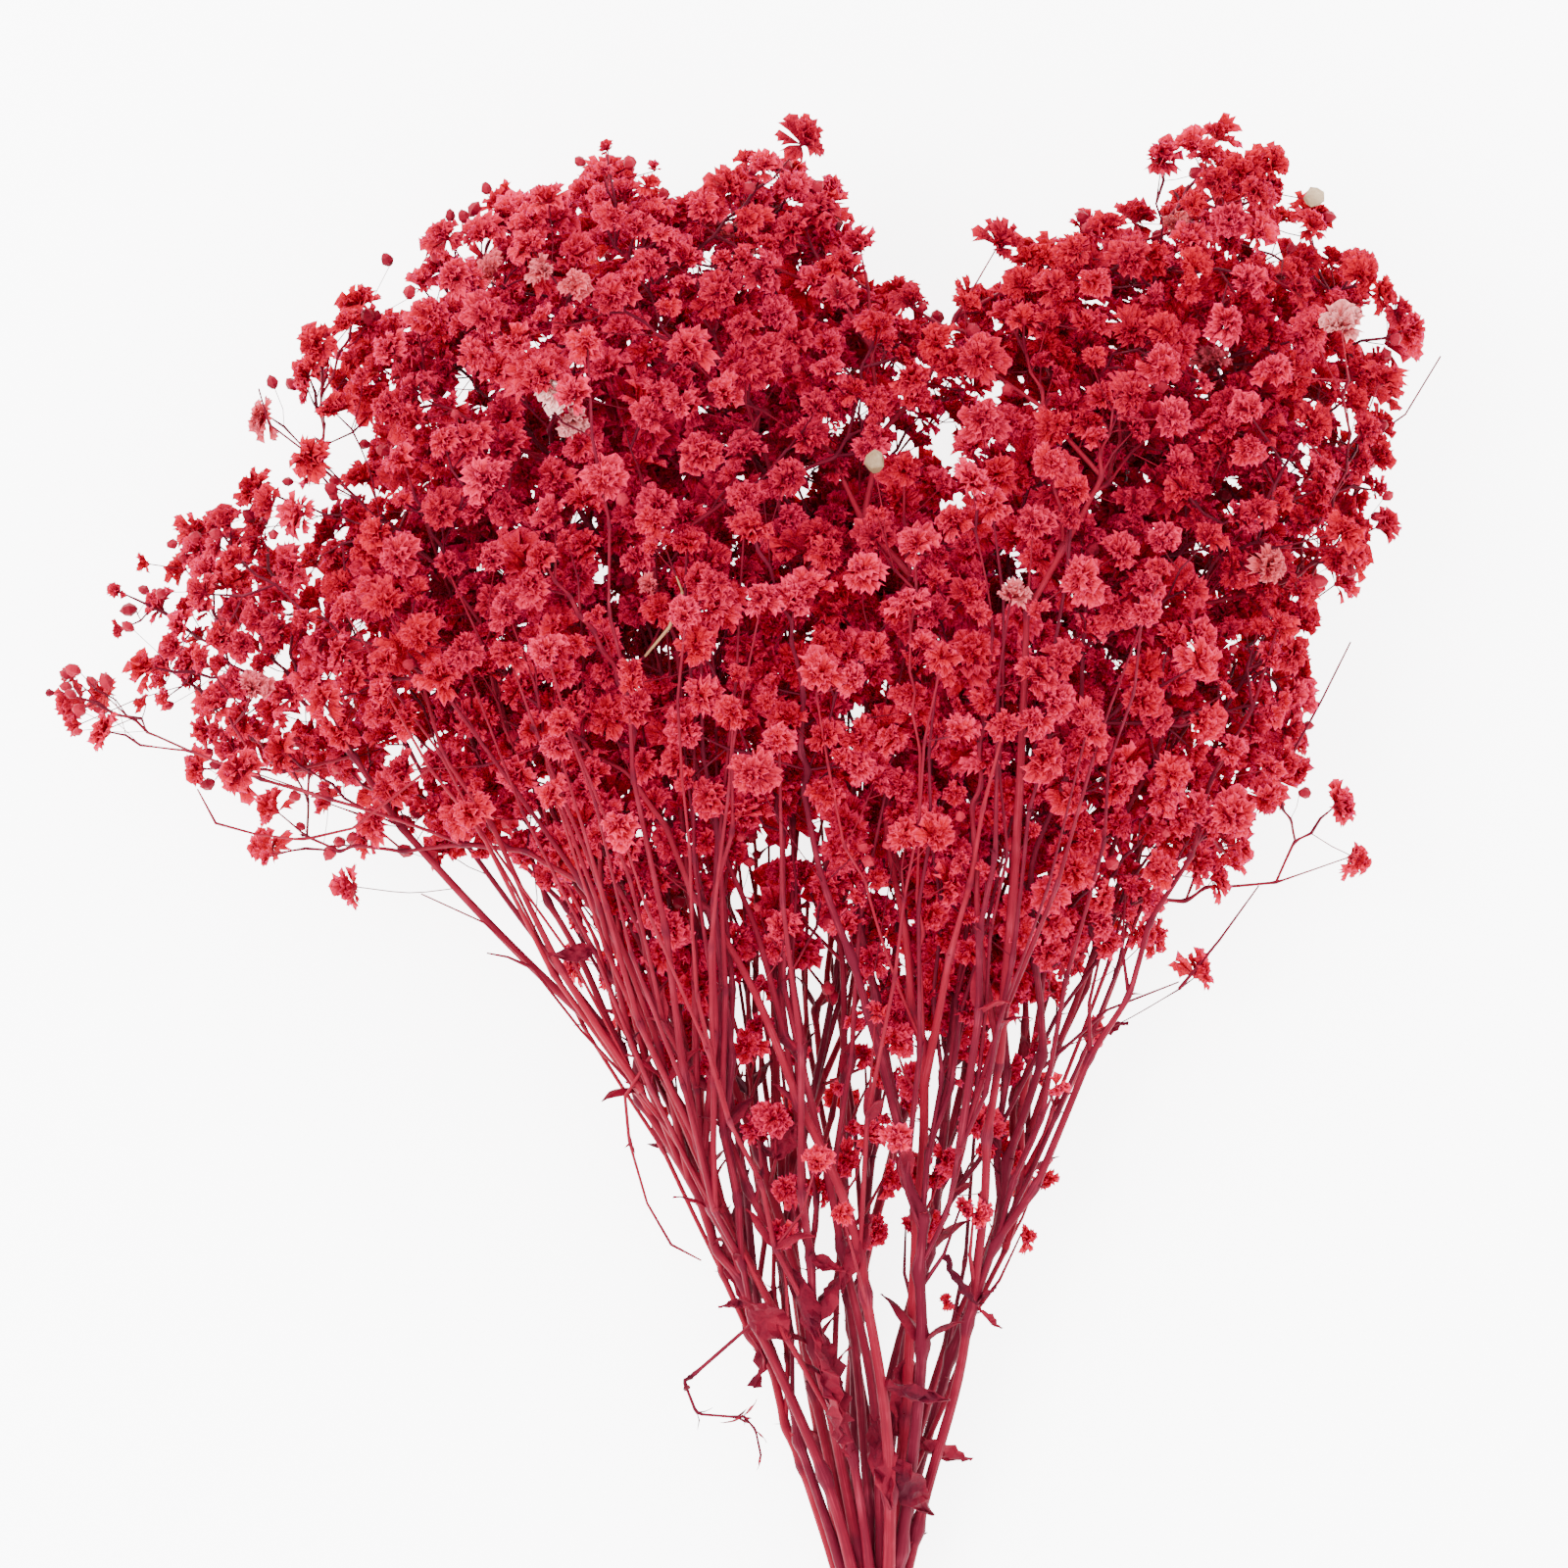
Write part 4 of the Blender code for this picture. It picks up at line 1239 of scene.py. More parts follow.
class Bench:
    """Makes the nodes of one tree."""

    def __init__(self, tree):
        self.tree = tree

    def node(self, kind, settings=None, values=None, out=0):
        made = self.tree.nodes.new(kind)
        for name, value in (settings or {}).items():
            setattr(made, name, value)
        for name, value in (values or {}).items():
            if isinstance(value, Wire):
                self.tree.links.new(value.socket, made.inputs[name])
            else:
                made.inputs[name].default_value = value
        socket = made.outputs[out] if len(made.outputs) else None
        return Wire(self, made, socket)


print("bench ready")

# %% [markdown]
# ## The finishes
#
# Everything drank the same dye, so the bunch has one hue, and what tells its parts apart is how
# much dye each took and how dry its surface is:
#
# - **petals** are crimson to bright red, thin as tissue, and crumpled. Their red also holds
#   painted shade: darker towards each petal's foot, partly dye pooled there, and streaked light and
#   dark across the pleats. They turn pale pink at the rims and along the sharp folds, partly by
#   bleaching and partly as painted highlight. A few blooms took hardly any dye and stay pale.
# - **stalks** are a darker, duller red with fine streaks along them, and shine a little.
# - **leaves**, calyxes and buds dried dull and brown-red, blotched, and lighter at their edges.
#
# All colours vary by attributes that the meshes carry (`rim`, `tone`, `frost_and_highlight`,
# `pale`), plus noise on Object coordinates, so they stay put from every side.
# `frost_and_highlight` is how pink a bloom's rims turn: partly how far they have bleached, partly
# painted light, more of it on the higher blooms and in the lower crown. `pale` marks the blooms
# that took hardly any dye. The weights in the sums were found one by one, beside the photograph.

# %% Helpers for the finishes
DETAIL = 3.0
FINE_DETAIL = 4.0


def new_finish(name):
    material = bpy.data.materials.new(name)
    material.use_nodes = True
    return material, Bench(material.node_tree), material.node_tree.nodes["Principled BSDF"]


def carried(bench, name):
    """A number that the mesh carries at its points."""
    return bench.node("ShaderNodeAttribute", {"attribute_name": name}).out("Fac")


def mottle(bench, grain, detail=DETAIL, place=None):
    """Noise from 0 to 1; grain is the number of blotches in a metre."""
    if place is None:
        place = bench.node("ShaderNodeTexCoord").out("Object")
    values = {"Vector": place, "Scale": grain, "Detail": detail}
    return bench.node("ShaderNodeTexNoise", {}, values).out("Fac")


def blend(bench, share, first, second):
    settings = {"data_type": "RGBA", "blend_type": "MIX", "clamp_factor": True}
    values = {0: share, 6: first, 7: second}
    return bench.node("ShaderNodeMix", settings, values, 2)


def connect(bench, wire, shader, name):
    bench.tree.links.new(wire.socket, shader.inputs[name])


def relief(bench, shader, height, strength, deep):
    values = {"Height": height, "Strength": strength, "Distance": deep}
    connect(bench, bench.node("ShaderNodeBump", {}, values).out("Normal"), shader, "Normal")


print("finish helpers ready")

# %% Petals
DEEP_CRIMSON = (0.175, 0.0034, 0.0125, 1.0)
BRIGHT_RED = (0.355, 0.0008, 0.0100, 1.0)
# Pale pink of bleached rims, also laid on as painted highlight.
BLEACH_AND_HIGHLIGHT_PINK = (0.54, 0.010, 0.056, 1.0)
BARE_PETAL = (0.95, 0.50, 0.48, 1.0)
PLEATS = 17.0
PLEAT_STRAY = 14.0
FOLDS = 620.0
FOLD_THIN = 17.0
PETAL_BLOTCH = 260.0
PETAL_FINE = 1900.0
PLAIN = 1.0
PLAIN_FINE = 2.0
PETAL_ROUGH = (0.66, 0.24)
PETAL_RELIEF = (0.8, 0.0006)
PETAL_GLOSS = 0.02
GLOW_THROUGH = 0.15
GLOW_COLOURS = (1.0, 0.12, 0.14)
GLOW_DEEP = 0.001


def petal_finish():
    material, bench, shader = new_finish("dyed petal")
    rim, tone = carried(bench, "rim"), carried(bench, "tone")
    frost_and_highlight, pale = carried(bench, "frost_and_highlight"), carried(bench, "pale")
    blotch = mottle(bench, PETAL_BLOTCH, PLAIN)
    fine = mottle(bench, PETAL_FINE, PLAIN_FINE)
    pleat = (carried(bench, "across") * PLEATS + blotch * PLEAT_STRAY).waves()
    off_fold = (mottle(bench, FOLDS, PLAIN) - 0.5) * FOLD_THIN
    fold = (1.0 - off_fold * off_fold).clamped()
    # Painted shade: the red darkens towards each petal's foot (partly dye pooled there) and is streaked
    # light and dark across the pleats.
    share = tone * 0.8 + rim * 0.75 - 0.42 + (blotch - 0.5) * 0.5 + (pleat - 0.5) * 0.5
    red_and_shade = blend(bench, share.clamped(), DEEP_CRIMSON, BRIGHT_RED)
    # Pale pink at the rims and along the folds: partly bleaching, partly painted highlight.
    edge = rim ** 5.0 * (frost_and_highlight + 0.12) + pleat * rim ** 3.0 * frost_and_highlight * 0.25
    bleach_and_highlight = (edge + fold * rim * (frost_and_highlight + 0.12) * 0.8 + (fine - 0.6) * 0.4 * frost_and_highlight).clamped()
    colour = blend(bench, bleach_and_highlight, red_and_shade, BLEACH_AND_HIGHLIGHT_PINK)
    bleached = (pale * (0.1 + rim ** 2.0 * 1.1 + (fine - 0.5) * 0.7)).clamped()
    colour = blend(bench, bleached, colour, BARE_PETAL)
    connect(bench, colour, shader, "Base Color")
    connect(bench, PETAL_ROUGH[0] + fine * PETAL_ROUGH[1], shader, "Roughness")
    relief(bench, shader, pleat * rim * 0.6 + fine * 0.3 + fold * 0.7, *PETAL_RELIEF)
    shader.inputs["Specular IOR Level"].default_value = PETAL_GLOSS
    shader.inputs["Subsurface Weight"].default_value = GLOW_THROUGH
    shader.inputs["Subsurface Radius"].default_value = GLOW_COLOURS
    shader.inputs["Subsurface Scale"].default_value = GLOW_DEEP
    return material


PETAL = petal_finish()
print("made", PETAL.name)

# %% Stalks
STALK_DARK = (0.068, 0.0014, 0.009, 1.0)
STALK_RED = (0.185, 0.0032, 0.014, 1.0)
STALK_BLOOM = (0.28, 0.032, 0.062, 1.0)
STRAW = (0.34, 0.17, 0.085, 1.0)
STREAK_GRAIN = 1.6
STREAKS_ROUND = (2.4, 2.4, 0.0)
STREAKS_ALONG = 55.0
STALK_BLOTCH = 120.0
STALK_ROUGH = (0.5, 0.3)
STALK_RELIEF = (0.5, 0.0005)
STALK_GLOSS = 0.07


def stalk_finish():
    material, bench, shader = new_finish("dyed stalk")
    tone, along = carried(bench, "tone"), carried(bench, "along")
    undyed, knot = carried(bench, "undyed"), carried(bench, "knot")
    around = bench.node("ShaderNodeAttribute", {"attribute_name": "around"}).out("Vector")
    lengthways = bench.node("ShaderNodeCombineXYZ", {}, {"Z": along * STREAKS_ALONG})
    values = {0: around, 1: STREAKS_ROUND}
    place = bench.node("ShaderNodeVectorMath", {"operation": "MULTIPLY"}, values)
    place = bench.node("ShaderNodeVectorMath", {"operation": "ADD"}, {0: place, 1: lengthways})
    streak = mottle(bench, STREAK_GRAIN, FINE_DETAIL, place)
    blotch = mottle(bench, STALK_BLOTCH)
    share = (tone * 0.9 + (streak - 0.5) * 0.9 + (blotch - 0.5) * 0.5 - knot * 0.7).clamped()
    colour = blend(bench, share, STALK_DARK, STALK_RED)
    dust = ((streak * blotch - 0.26) * 1.6).clamped()
    colour = blend(bench, dust, colour, STALK_BLOOM)
    colour = blend(bench, ((undyed - 0.93) * 14.0).clamped(), colour, STRAW)
    connect(bench, colour, shader, "Base Color")
    connect(bench, STALK_ROUGH[0] + streak * STALK_ROUGH[1], shader, "Roughness")
    relief(bench, shader, streak, *STALK_RELIEF)
    shader.inputs["Specular IOR Level"].default_value = STALK_GLOSS
    return material


STALK = stalk_finish()
print("made", STALK.name)

# %% Calyxes, buds and leaves
LEAF_DARK = (0.036, 0.0008, 0.006, 1.0)
LEAF_RED = (0.18, 0.0040, 0.016, 1.0)
CALYX_DARK = (0.09, 0.0010, 0.008, 1.0)
CALYX_RED = (0.26, 0.004, 0.020, 1.0)
BUD_BROWN = (0.15, 0.085, 0.045, 1.0)
BUD_CREAM = (0.38, 0.28, 0.18, 1.0)
DRY_ROUGH = (0.5, 0.3)
DRY_RELIEF = (0.45, 0.0005)
DRY_GLOSS = 0.06
FINER = 7.0
CALYX_GRAIN = 420.0
LEAF_GRAIN = 160.0
BUD_GRAIN = 500.0


def dry_finish(name, dark, light, grain):
    """Calyx, bud and leaf: dull, blotched where it dried, lighter along its edges."""
    material, bench, shader = new_finish(name)
    rim, tone = carried(bench, "rim"), carried(bench, "tone")
    blotch = mottle(bench, grain)
    fine = mottle(bench, grain * FINER, FINE_DETAIL)
    share = (tone * 0.7 + (blotch - 0.5) * 1.1 + rim * 0.3 + (fine - 0.5) * 0.4).clamped()
    connect(bench, blend(bench, share, dark, light), shader, "Base Color")
    connect(bench, DRY_ROUGH[0] + fine * DRY_ROUGH[1], shader, "Roughness")
    relief(bench, shader, fine, *DRY_RELIEF)
    shader.inputs["Specular IOR Level"].default_value = DRY_GLOSS
    return material


CALYX = dry_finish("dyed calyx", CALYX_DARK, CALYX_RED, CALYX_GRAIN)
LEAF = dry_finish("dried leaf", LEAF_DARK, LEAF_RED, LEAF_GRAIN)
BARE = dry_finish("undyed bud", BUD_BROWN, BUD_CREAM, BUD_GRAIN)
print("made", CALYX.name, LEAF.name, "and", BARE.name)

# %% [markdown]
# ## The small parts, one of each
#
# A petal, a calyx, a bud and a leaf are made at a size of one, standing on the origin
# and growing up the Z axis with their outer side towards +X. Each comes in a few variants, so
# that no two blooms look alike. A petal is repeated more than thirty thousand times, so it has
# twenty triangles: a narrow foot, a waist, and a rim of seven points torn up and down. Its
# front and back share that rim, which closes it without a wall.
#
# Every part carries `rim`, which is 0 at its foot and 1 at its edge, for the finishes to use.

# %% Petals, calyxes, buds and leaves
random = np.random.default_rng(SEED + 3)
PETAL_WIDE = (0.38, 0.50)
PETAL_CURL = (-0.06, 0.26)
PETAL_FOOT = 0.02
WAIST_AT = 0.52
WAIST_SHARE = 0.62
WAIST_HOLLOW = (0.04, 0.05)
WAIST_VARY = 0.02
RIM_POINTS = 7
RUFFLE = 0.10
RUFFLE_VARY = 0.04
RIM_TALL = (0.98, 0.20)
RIM_CUPPED = 0.06
TEAR = (-0.15, 0.09)
PETAL_BACK = (-0.07, 0.0, 0.50)
PETAL_RIMS = (0.0, 0.45, 1.0, 0.4)
LEAF_TWIST = (-1.3, 1.3)
LEAF_CURL = (0.1, 0.75)
LEAF_FOLD = (0.25, 0.6)
LEAF_WAVE = (0.01, 0.035)
LEAF_WAVES = (9, 2.2)
LEAF_OVAL = (0.7, 1.15)
LEAF_FOOT = 0.2
LEAF_LEAST = 0.006
LEAF_WALL = 0.012
LEAF_RIMS = (0.8, 0.2, 0.3)
CURL_SHORTENS = 0.25
CRUMPLE = 0.006
TORN = (-10, 4)


def kept_part(bm, rims, name, collection, across=None):
    """Keeps a part in its collection, with its rims and the way across it at its points."""
    bmesh.ops.recalc_face_normals(bm, faces=bm.faces)
    bm.verts.index_update()
    mesh = bpy.data.meshes.new(name)
    bm.to_mesh(mesh)
    bm.free()
    for label, values in (("rim", rims), ("across", across)):
        if values is not None:
            held = mesh.attributes.new(label, "FLOAT", "POINT")
            held.data.foreach_set("value", values)
    part = bpy.data.objects.new(name, mesh)
    collection.objects.link(part)
    return part


def make_petal(name, collection):
    """Foot, waist of three points, rim of seven, and one point behind the waist."""
    bm = bmesh.new()
    wide = random.uniform(*PETAL_WIDE)
    curl = random.uniform(*PETAL_CURL)
    foot = bm.verts.new((0.0, 0.0, PETAL_FOOT))
    waist = []
    for s in (-1, 0, 1):
        hollow = WAIST_HOLLOW[0] - WAIST_HOLLOW[1] * abs(s)
        hollow += random.uniform(-WAIST_VARY, WAIST_VARY)
        waist.append(bm.verts.new((hollow, s * wide * WAIST_SHARE, WAIST_AT)))
    rim = []
    for k in range(RIM_POINTS):
        s = (k - 3) / 3
        ruffle = RUFFLE * (-1) ** k + random.uniform(-RUFFLE_VARY, RUFFLE_VARY)
        tall = RIM_TALL[0] - RIM_TALL[1] * s * s + random.uniform(*TEAR)
        rim.append(bm.verts.new((curl + ruffle - RIM_CUPPED * s * s, s * wide, tall)))
    back = bm.verts.new(PETAL_BACK)
    left, centre, right = waist
    faces = [
        (foot, left, centre), (foot, centre, right),
        (left, rim[0], rim[1]), (left, rim[1], centre), (centre, rim[1], rim[2]),
        (centre, rim[2], rim[3]), (centre, rim[3], rim[4]), (centre, rim[4], rim[5]),
        (centre, rim[5], right), (right, rim[5], rim[6]),
    ]
    loop = [foot, left, *rim, right]
    faces += [(back, loop[k - 1], loop[k]) for k in range(len(loop))]
    for face in faces:
        bm.faces.new(face)
    counts = (1, len(waist), RIM_POINTS, 1)
    rims = [value for value, count in zip(PETAL_RIMS, counts) for _ in range(count)]
    across = [0.0, -WAIST_SHARE, 0.0, WAIST_SHARE]
    across += [(k - 3) / 3 for k in range(RIM_POINTS)] + [0.0]
    return kept_part(bm, rims, name, collection, across)


def turned_part(rings, sides, name, collection, rims, lobes=0.0):
    """A closed form turned round Z: the first and last ring are single points."""
    bm = bmesh.new()
    rows, values = [], []
    for k, (radius, height) in enumerate(rings):
        if radius == 0.0:
            rows.append([bm.verts.new((0.0, 0.0, height))])
            values.append(rims[k])
            continue
        row = []
        for s in range(sides):
            turn = 2 * math.pi * s / sides
            lift = lobes * (s % 2) * (k == len(rings) - 2)
            aside, along = radius * math.cos(turn), radius * math.sin(turn)
            row.append(bm.verts.new((aside, along, height + lift)))
            values.append(rims[k])
        rows.append(row)
    for low, high in zip(rows, rows[1:]):
        for s in range(sides):
            n = (s + 1) % sides
            ring = [low[s % len(low)], low[n % len(low)], high[n % len(high)], high[s % len(high)]]
            bm.faces.new(list(dict.fromkeys(ring)))
    bmesh.ops.triangulate(bm, faces=bm.faces)
    return kept_part(bm, values, name, collection)


def make_leaf(name, collection, rows, flaps, broad, crumple=CRUMPLE):
    """A lance-shaped blade, folded on its midrib, twisted, curled and crumpled as it dried."""
    bm = bmesh.new()
    twist, curl = random.uniform(*LEAF_TWIST), random.uniform(*LEAF_CURL)
    fold, wave = random.uniform(*LEAF_FOLD), random.uniform(*LEAF_WAVE)
    grid, rims = [], []
    for t in np.linspace(0, 1, rows):
        oval = math.sin(math.pi * t ** LEAF_OVAL[0]) ** LEAF_OVAL[1]
        wide = broad * (oval + LEAF_FOOT * (1 - t)) + LEAF_LEAST
        turn = twist * t * t
        row = []
        for s in flaps:
            phase = LEAF_WAVES[0] * t + LEAF_WAVES[1] * s
            x = abs(s) * wide * fold + wave * math.sin(phase) * abs(s)
            x += random.normal(0, crumple)
            y = s * wide * (1 + random.uniform(*TORN) * crumple * abs(s))
            along = x * math.cos(turn) - y * math.sin(turn) + curl * t * t
            aside = x * math.sin(turn) + y * math.cos(turn)
            row.append(bm.verts.new((along, aside, t * (1 - CURL_SHORTENS * curl * t))))
            rims.append(abs(s) * LEAF_RIMS[0] + LEAF_RIMS[1] * t)
        grid.append(row)
    for low, high in zip(grid, grid[1:]):
        for k in range(len(flaps) - 1):
            bm.faces.new((low[k], low[k + 1], high[k + 1], high[k]))
    bmesh.ops.recalc_face_normals(bm, faces=bm.faces)
    bmesh.ops.solidify(bm, geom=bm.faces[:], thickness=LEAF_WALL)
    bmesh.ops.triangulate(bm, faces=bm.faces)
    rims = rims + [LEAF_RIMS[2]] * (len(bm.verts) - len(rims))
    return kept_part(bm, rims, name, collection)


print("one of each can be made")

# %% One collection for each sort
CUP_SIDES = 5
CUP = ((0.0, -0.10), (0.10, -0.02), (0.25, 0.20), (0.0, 0.16))
CUP_RIMS = (0.0, 0.2, 1.0, 0.5)
CUP_TEETH = 0.12
BEAD = ((0.0, -0.25), (0.45, 0.0), (0.95, 0.75), (0.72, 1.55), (0.0, 2.15))
BEAD_RIMS = (0.0, 0.2, 0.5, 0.8, 1.0)
PETAL_KINDS = 6
LEAF_KINDS = 4
SLIM_ROWS = 8
SLIM_FLAPS = (-1, -0.5, 0, 0.5, 1)
SLIM_WIDE = (0.10, 0.17)
BROAD_ROWS = 12
BROAD_FLAPS = (-1, -0.6, -0.2, 0.2, 0.6, 1)
BROAD_WIDE = (0.14, 0.2)
BROAD_CRUMPLE = 0.034
BRACT_ROWS = 3
BRACT_FLAPS = (-1, 0, 1)
BRACT_WIDE = 0.19
petal_kinds = bpy.data.collections.new("petal kinds")
for k in range(PETAL_KINDS):
    make_petal(f"petal_{k}", petal_kinds)
calyx_kinds = bpy.data.collections.new("calyx kinds")
turned_part(CUP, CUP_SIDES, "calyx", calyx_kinds, CUP_RIMS, CUP_TEETH)
bud_kinds = bpy.data.collections.new("bud kinds")
turned_part(BEAD, CUP_SIDES, "bud", bud_kinds, BEAD_RIMS)
leaf_kinds = bpy.data.collections.new("leaf kinds")
broad_kinds = bpy.data.collections.new("broad leaf kinds")
bract_kinds = bpy.data.collections.new("bract kinds")
for k in range(LEAF_KINDS):
    make_leaf(f"leaf_{k}", leaf_kinds, SLIM_ROWS, SLIM_FLAPS, random.uniform(*SLIM_WIDE))
    wide = random.uniform(*BROAD_WIDE)
    make_leaf(f"broad_{k}", broad_kinds, BROAD_ROWS, BROAD_FLAPS, wide, BROAD_CRUMPLE)
    make_leaf(f"bract_{k}", bract_kinds, BRACT_ROWS, BRACT_FLAPS, BRACT_WIDE)
KINDS = (petal_kinds, calyx_kinds, bud_kinds, leaf_kinds, broad_kinds, bract_kinds)

# %% [markdown]
# ## A tree that sweeps stalks
#
# A stalk is a line with a thickness. The line comes in as a mesh of edges whose points carry
# `thick`, and the tree turns it into a curve and sweeps a circle along it. The circle remembers
# its own points as `around`, so that the streaks in the finish run along the stalk without a
# seam. Curve to Mesh closes the ends.

# %% The sweeping tree
def node_tree(name, inputs):
    """An empty geometry tree with named inputs; returns its bench, inputs and their sockets."""
    tree = bpy.data.node_groups.new(name, "GeometryNodeTree")
    tree.interface.new_socket("Geometry", in_out="INPUT", socket_type="NodeSocketGeometry")
    sockets = {}
    for label, kind in inputs:
        socket = tree.interface.new_socket(label, in_out="INPUT", socket_type="NodeSocket" + kind)
        sockets[label] = socket.identifier
    tree.interface.new_socket("Geometry", in_out="OUTPUT", socket_type="NodeSocketGeometry")
    bench = Bench(tree)
    return bench, bench.node("NodeGroupInput"), sockets


def named(bench, name, kind="FLOAT"):
    return bench.node("GeometryNodeInputNamedAttribute", {"data_type": kind}, {"Name": name})


def finish_tree(bench, geometry, given):
    """Every tree ends the same way: instances made real, then the finish."""
    real = bench.node("GeometryNodeRealizeInstances", {}, {0: geometry})
    values = {"Geometry": real, "Material": given.out("Finish")}
    done = bench.node("GeometryNodeSetMaterial", {}, values)
    bench.node("NodeGroupOutput", {}, {0: done})


def sweeping_tree():
    bench, given, sockets = node_tree("sweep stalks", (("Sides", "Int"), ("Finish", "Material")))
    ways = bench.node("GeometryNodeMeshToCurve", {}, {"Mesh": given.out("Geometry")})
    circle = bench.node("GeometryNodeCurvePrimitiveCircle", {}, {0: given.out("Sides"), 4: 1.0})
    values = {"Geometry": circle, "Name": "around", "Value": bench.node("GeometryNodeInputPosition")}
    settings = {"data_type": "FLOAT_VECTOR", "domain": "POINT"}
    circle = bench.node("GeometryNodeStoreNamedAttribute", settings, values)
    values = {"Curve": ways, "Profile Curve": circle, "Scale": named(bench, "thick"), "Fill Caps": True}
    swept = bench.node("GeometryNodeCurveToMesh", {}, values)
    smooth = bench.node("GeometryNodeSetShadeSmooth", {}, {"Geometry": swept, "Shade Smooth": True})
    finish_tree(bench, smooth, given)
    return bench.tree, sockets


SWEEP, SWEEP_SOCKETS = sweeping_tree()
print("tree", SWEEP.name, "has", len(SWEEP.nodes), "nodes")

# %% [markdown]
# ## A tree that sets parts round an axis
#
# A flower's petals follow one rule: each is turned on from the last by the golden angle, about
# 137.5 degrees, and leans out further the later it comes. The same rule with other numbers sets
# a calyx under a bloom, a bud on its hair, or a pair of leaves at a joint. So one tree serves
# them all. Each input point carries `axis`, `size`, `spread` (how far the last part leans out),
# `roll`, and the colours' attributes, which travel with the parts.

# %% The setting tree
LEAN_POWER = 0.9
SIZE_POWER = 0.6
LOPSIDED = 1.1
TWIST_SHARE = 0.8
LAST_PICK = 11


def setting_tree():
    bench, given, sockets = node_tree("set parts round an axis", (
        ("Parts", "Collection"), ("Copies", "Int"), ("Inner Lean", "Float"),
        ("Inner Size", "Float"), ("Turn", "Float"), ("Waver", "Float"),
        ("Tone Waver", "Float"), ("Seed", "Int"), ("Finish", "Material"),
    ))
    copies = given.out("Copies")
    values = {"Geometry": given.out("Geometry"), "Amount": copies}
    places = bench.node("GeometryNodeDuplicateElements", {"domain": "POINT"}, values)
    order = places.out("Duplicate Index")

    def draw(low, high, seed):
        settings = {"data_type": "FLOAT"}
        values = {2: low, 3: high, 8: given.out("Seed") + seed}
        return bench.node("FunctionNodeRandomValue", settings, values, 1)

    share = (order + 0.5) / copies
    waver = given.out("Waver")
    inner = given.out("Inner Lean")
    spread = named(bench, "spread")
    lean = inner + (spread - inner) * share ** LEAN_POWER + draw(-1.0, 1.0, 1) * waver
    roll = named(bench, "roll")
    turn = order * given.out("Turn") + roll
    lopsided = ((turn + roll).waves() - 0.5) * waver * LOPSIDED
    turn = turn + draw(-1.0, 1.0, 2) * waver
    twist = draw(-1.0, 1.0, 3) * waver * TWIST_SHARE
    small = given.out("Inner Size")
    size = named(bench, "size") * (small + (1.0 - small) * share ** SIZE_POWER)
    size = size * (1.0 + draw(-0.5, 0.5, 4) * waver + lopsided)
    tone = named(bench, "tone") + draw(-1.0, 1.0, 5) * given.out("Tone Waver")
    settings = {"data_type": "FLOAT", "domain": "POINT"}
    values = {"Geometry": places, "Name": "tone", "Value": tone}
    toned = bench.node("GeometryNodeStoreNamedAttribute", settings, values)
    axis = named(bench, "axis", "FLOAT_VECTOR")
    upright = bench.node("FunctionNodeAlignRotationToVector", {"axis": "Z"}, {"Vector": axis})
    angles = bench.node("ShaderNodeCombineXYZ", {}, {"X": twist, "Y": lean, "Z": turn})
    leaning = bench.node("FunctionNodeEulerToRotation", {}, {"Euler": angles})
    values = {"Rotation": upright, "Rotate By": leaning}
    pose = bench.node("FunctionNodeRotateRotation", {"rotation_space": "LOCAL"}, values)
    values = {"Collection": given.out("Parts"), "Separate Children": True, "Reset Children": True}
    parts = bench.node("GeometryNodeCollectionInfo", {}, values)
    settings = {"data_type": "INT"}
    values = {4: 0, 5: LAST_PICK, 8: given.out("Seed")}
    pick = bench.node("FunctionNodeRandomValue", settings, values, 2)
    values = {
        "Points": toned, "Instance": parts, "Pick Instance": True, "Instance Index": pick,
        "Rotation": pose, "Scale": size,
    }
    set_parts = bench.node("GeometryNodeInstanceOnPoints", {}, values)
    finish_tree(bench, set_parts, given)
    return bench.tree, sockets


SETTING, SETTING_SOCKETS = setting_tree()
print("tree", SETTING.name, "has", len(SETTING.nodes), "nodes")

# %% [markdown]
# ## From points to a plain mesh
#
# `made_by` puts a mesh of points or edges through a tree. The inputs are set by their
# sockets' identifiers before the object is looked at for the first time, the result is read as
# a plain mesh, and the object and its modifier go.

# %% Run a tree
def carrier(points, edges, numbers, vectors):
    """A mesh of points and edges, with a number or a vector of each name at every point."""
    mesh = bpy.data.meshes.new("carrier")
    mesh.from_pydata(points.tolist(), edges, [])
    for name, values in numbers.items():
        held = mesh.attributes.new(name, "FLOAT", "POINT")
        held.data.foreach_set("value", np.asarray(values, np.float32))
    for name, values in vectors.items():
        held = mesh.attributes.new(name, "FLOAT_VECTOR", "POINT")
        held.data.foreach_set("vector", np.asarray(values, np.float32).ravel())
    return mesh


def made_by(tree, sockets, mesh, inputs):
    thing = bpy.data.objects.new("carrier", mesh)
    bpy.context.scene.collection.objects.link(thing)
    step = thing.modifiers.new("tree", "NODES")
    step.node_group = tree
    for label, value in inputs.items():
        step[sockets[label]] = value
    graph = bpy.context.evaluated_depsgraph_get()
    made = bpy.data.meshes.new_from_object(thing.evaluated_get(graph))
    for slot in reversed(range(len(made.materials))):
        if made.materials[slot] is None:
            made.materials.pop(index=slot)
    bpy.data.objects.remove(thing)
    bpy.data.meshes.remove(mesh)
    return made


def joined(name, meshes):
    """One object at the origin from several meshes, each keeping its finish."""
    things = []
    for mesh in meshes:
        thing = bpy.data.objects.new(name, mesh)
        bpy.context.scene.collection.objects.link(thing)
        things.append(thing)
    if len(things) > 1:
        with bpy.context.temp_override(
            active_object=things[0], object=things[0], selected_objects=things,
            selected_editable_objects=things,
        ):
            bpy.ops.object.join()
    things[0].name = name
    return things[0]


print("trees can run")

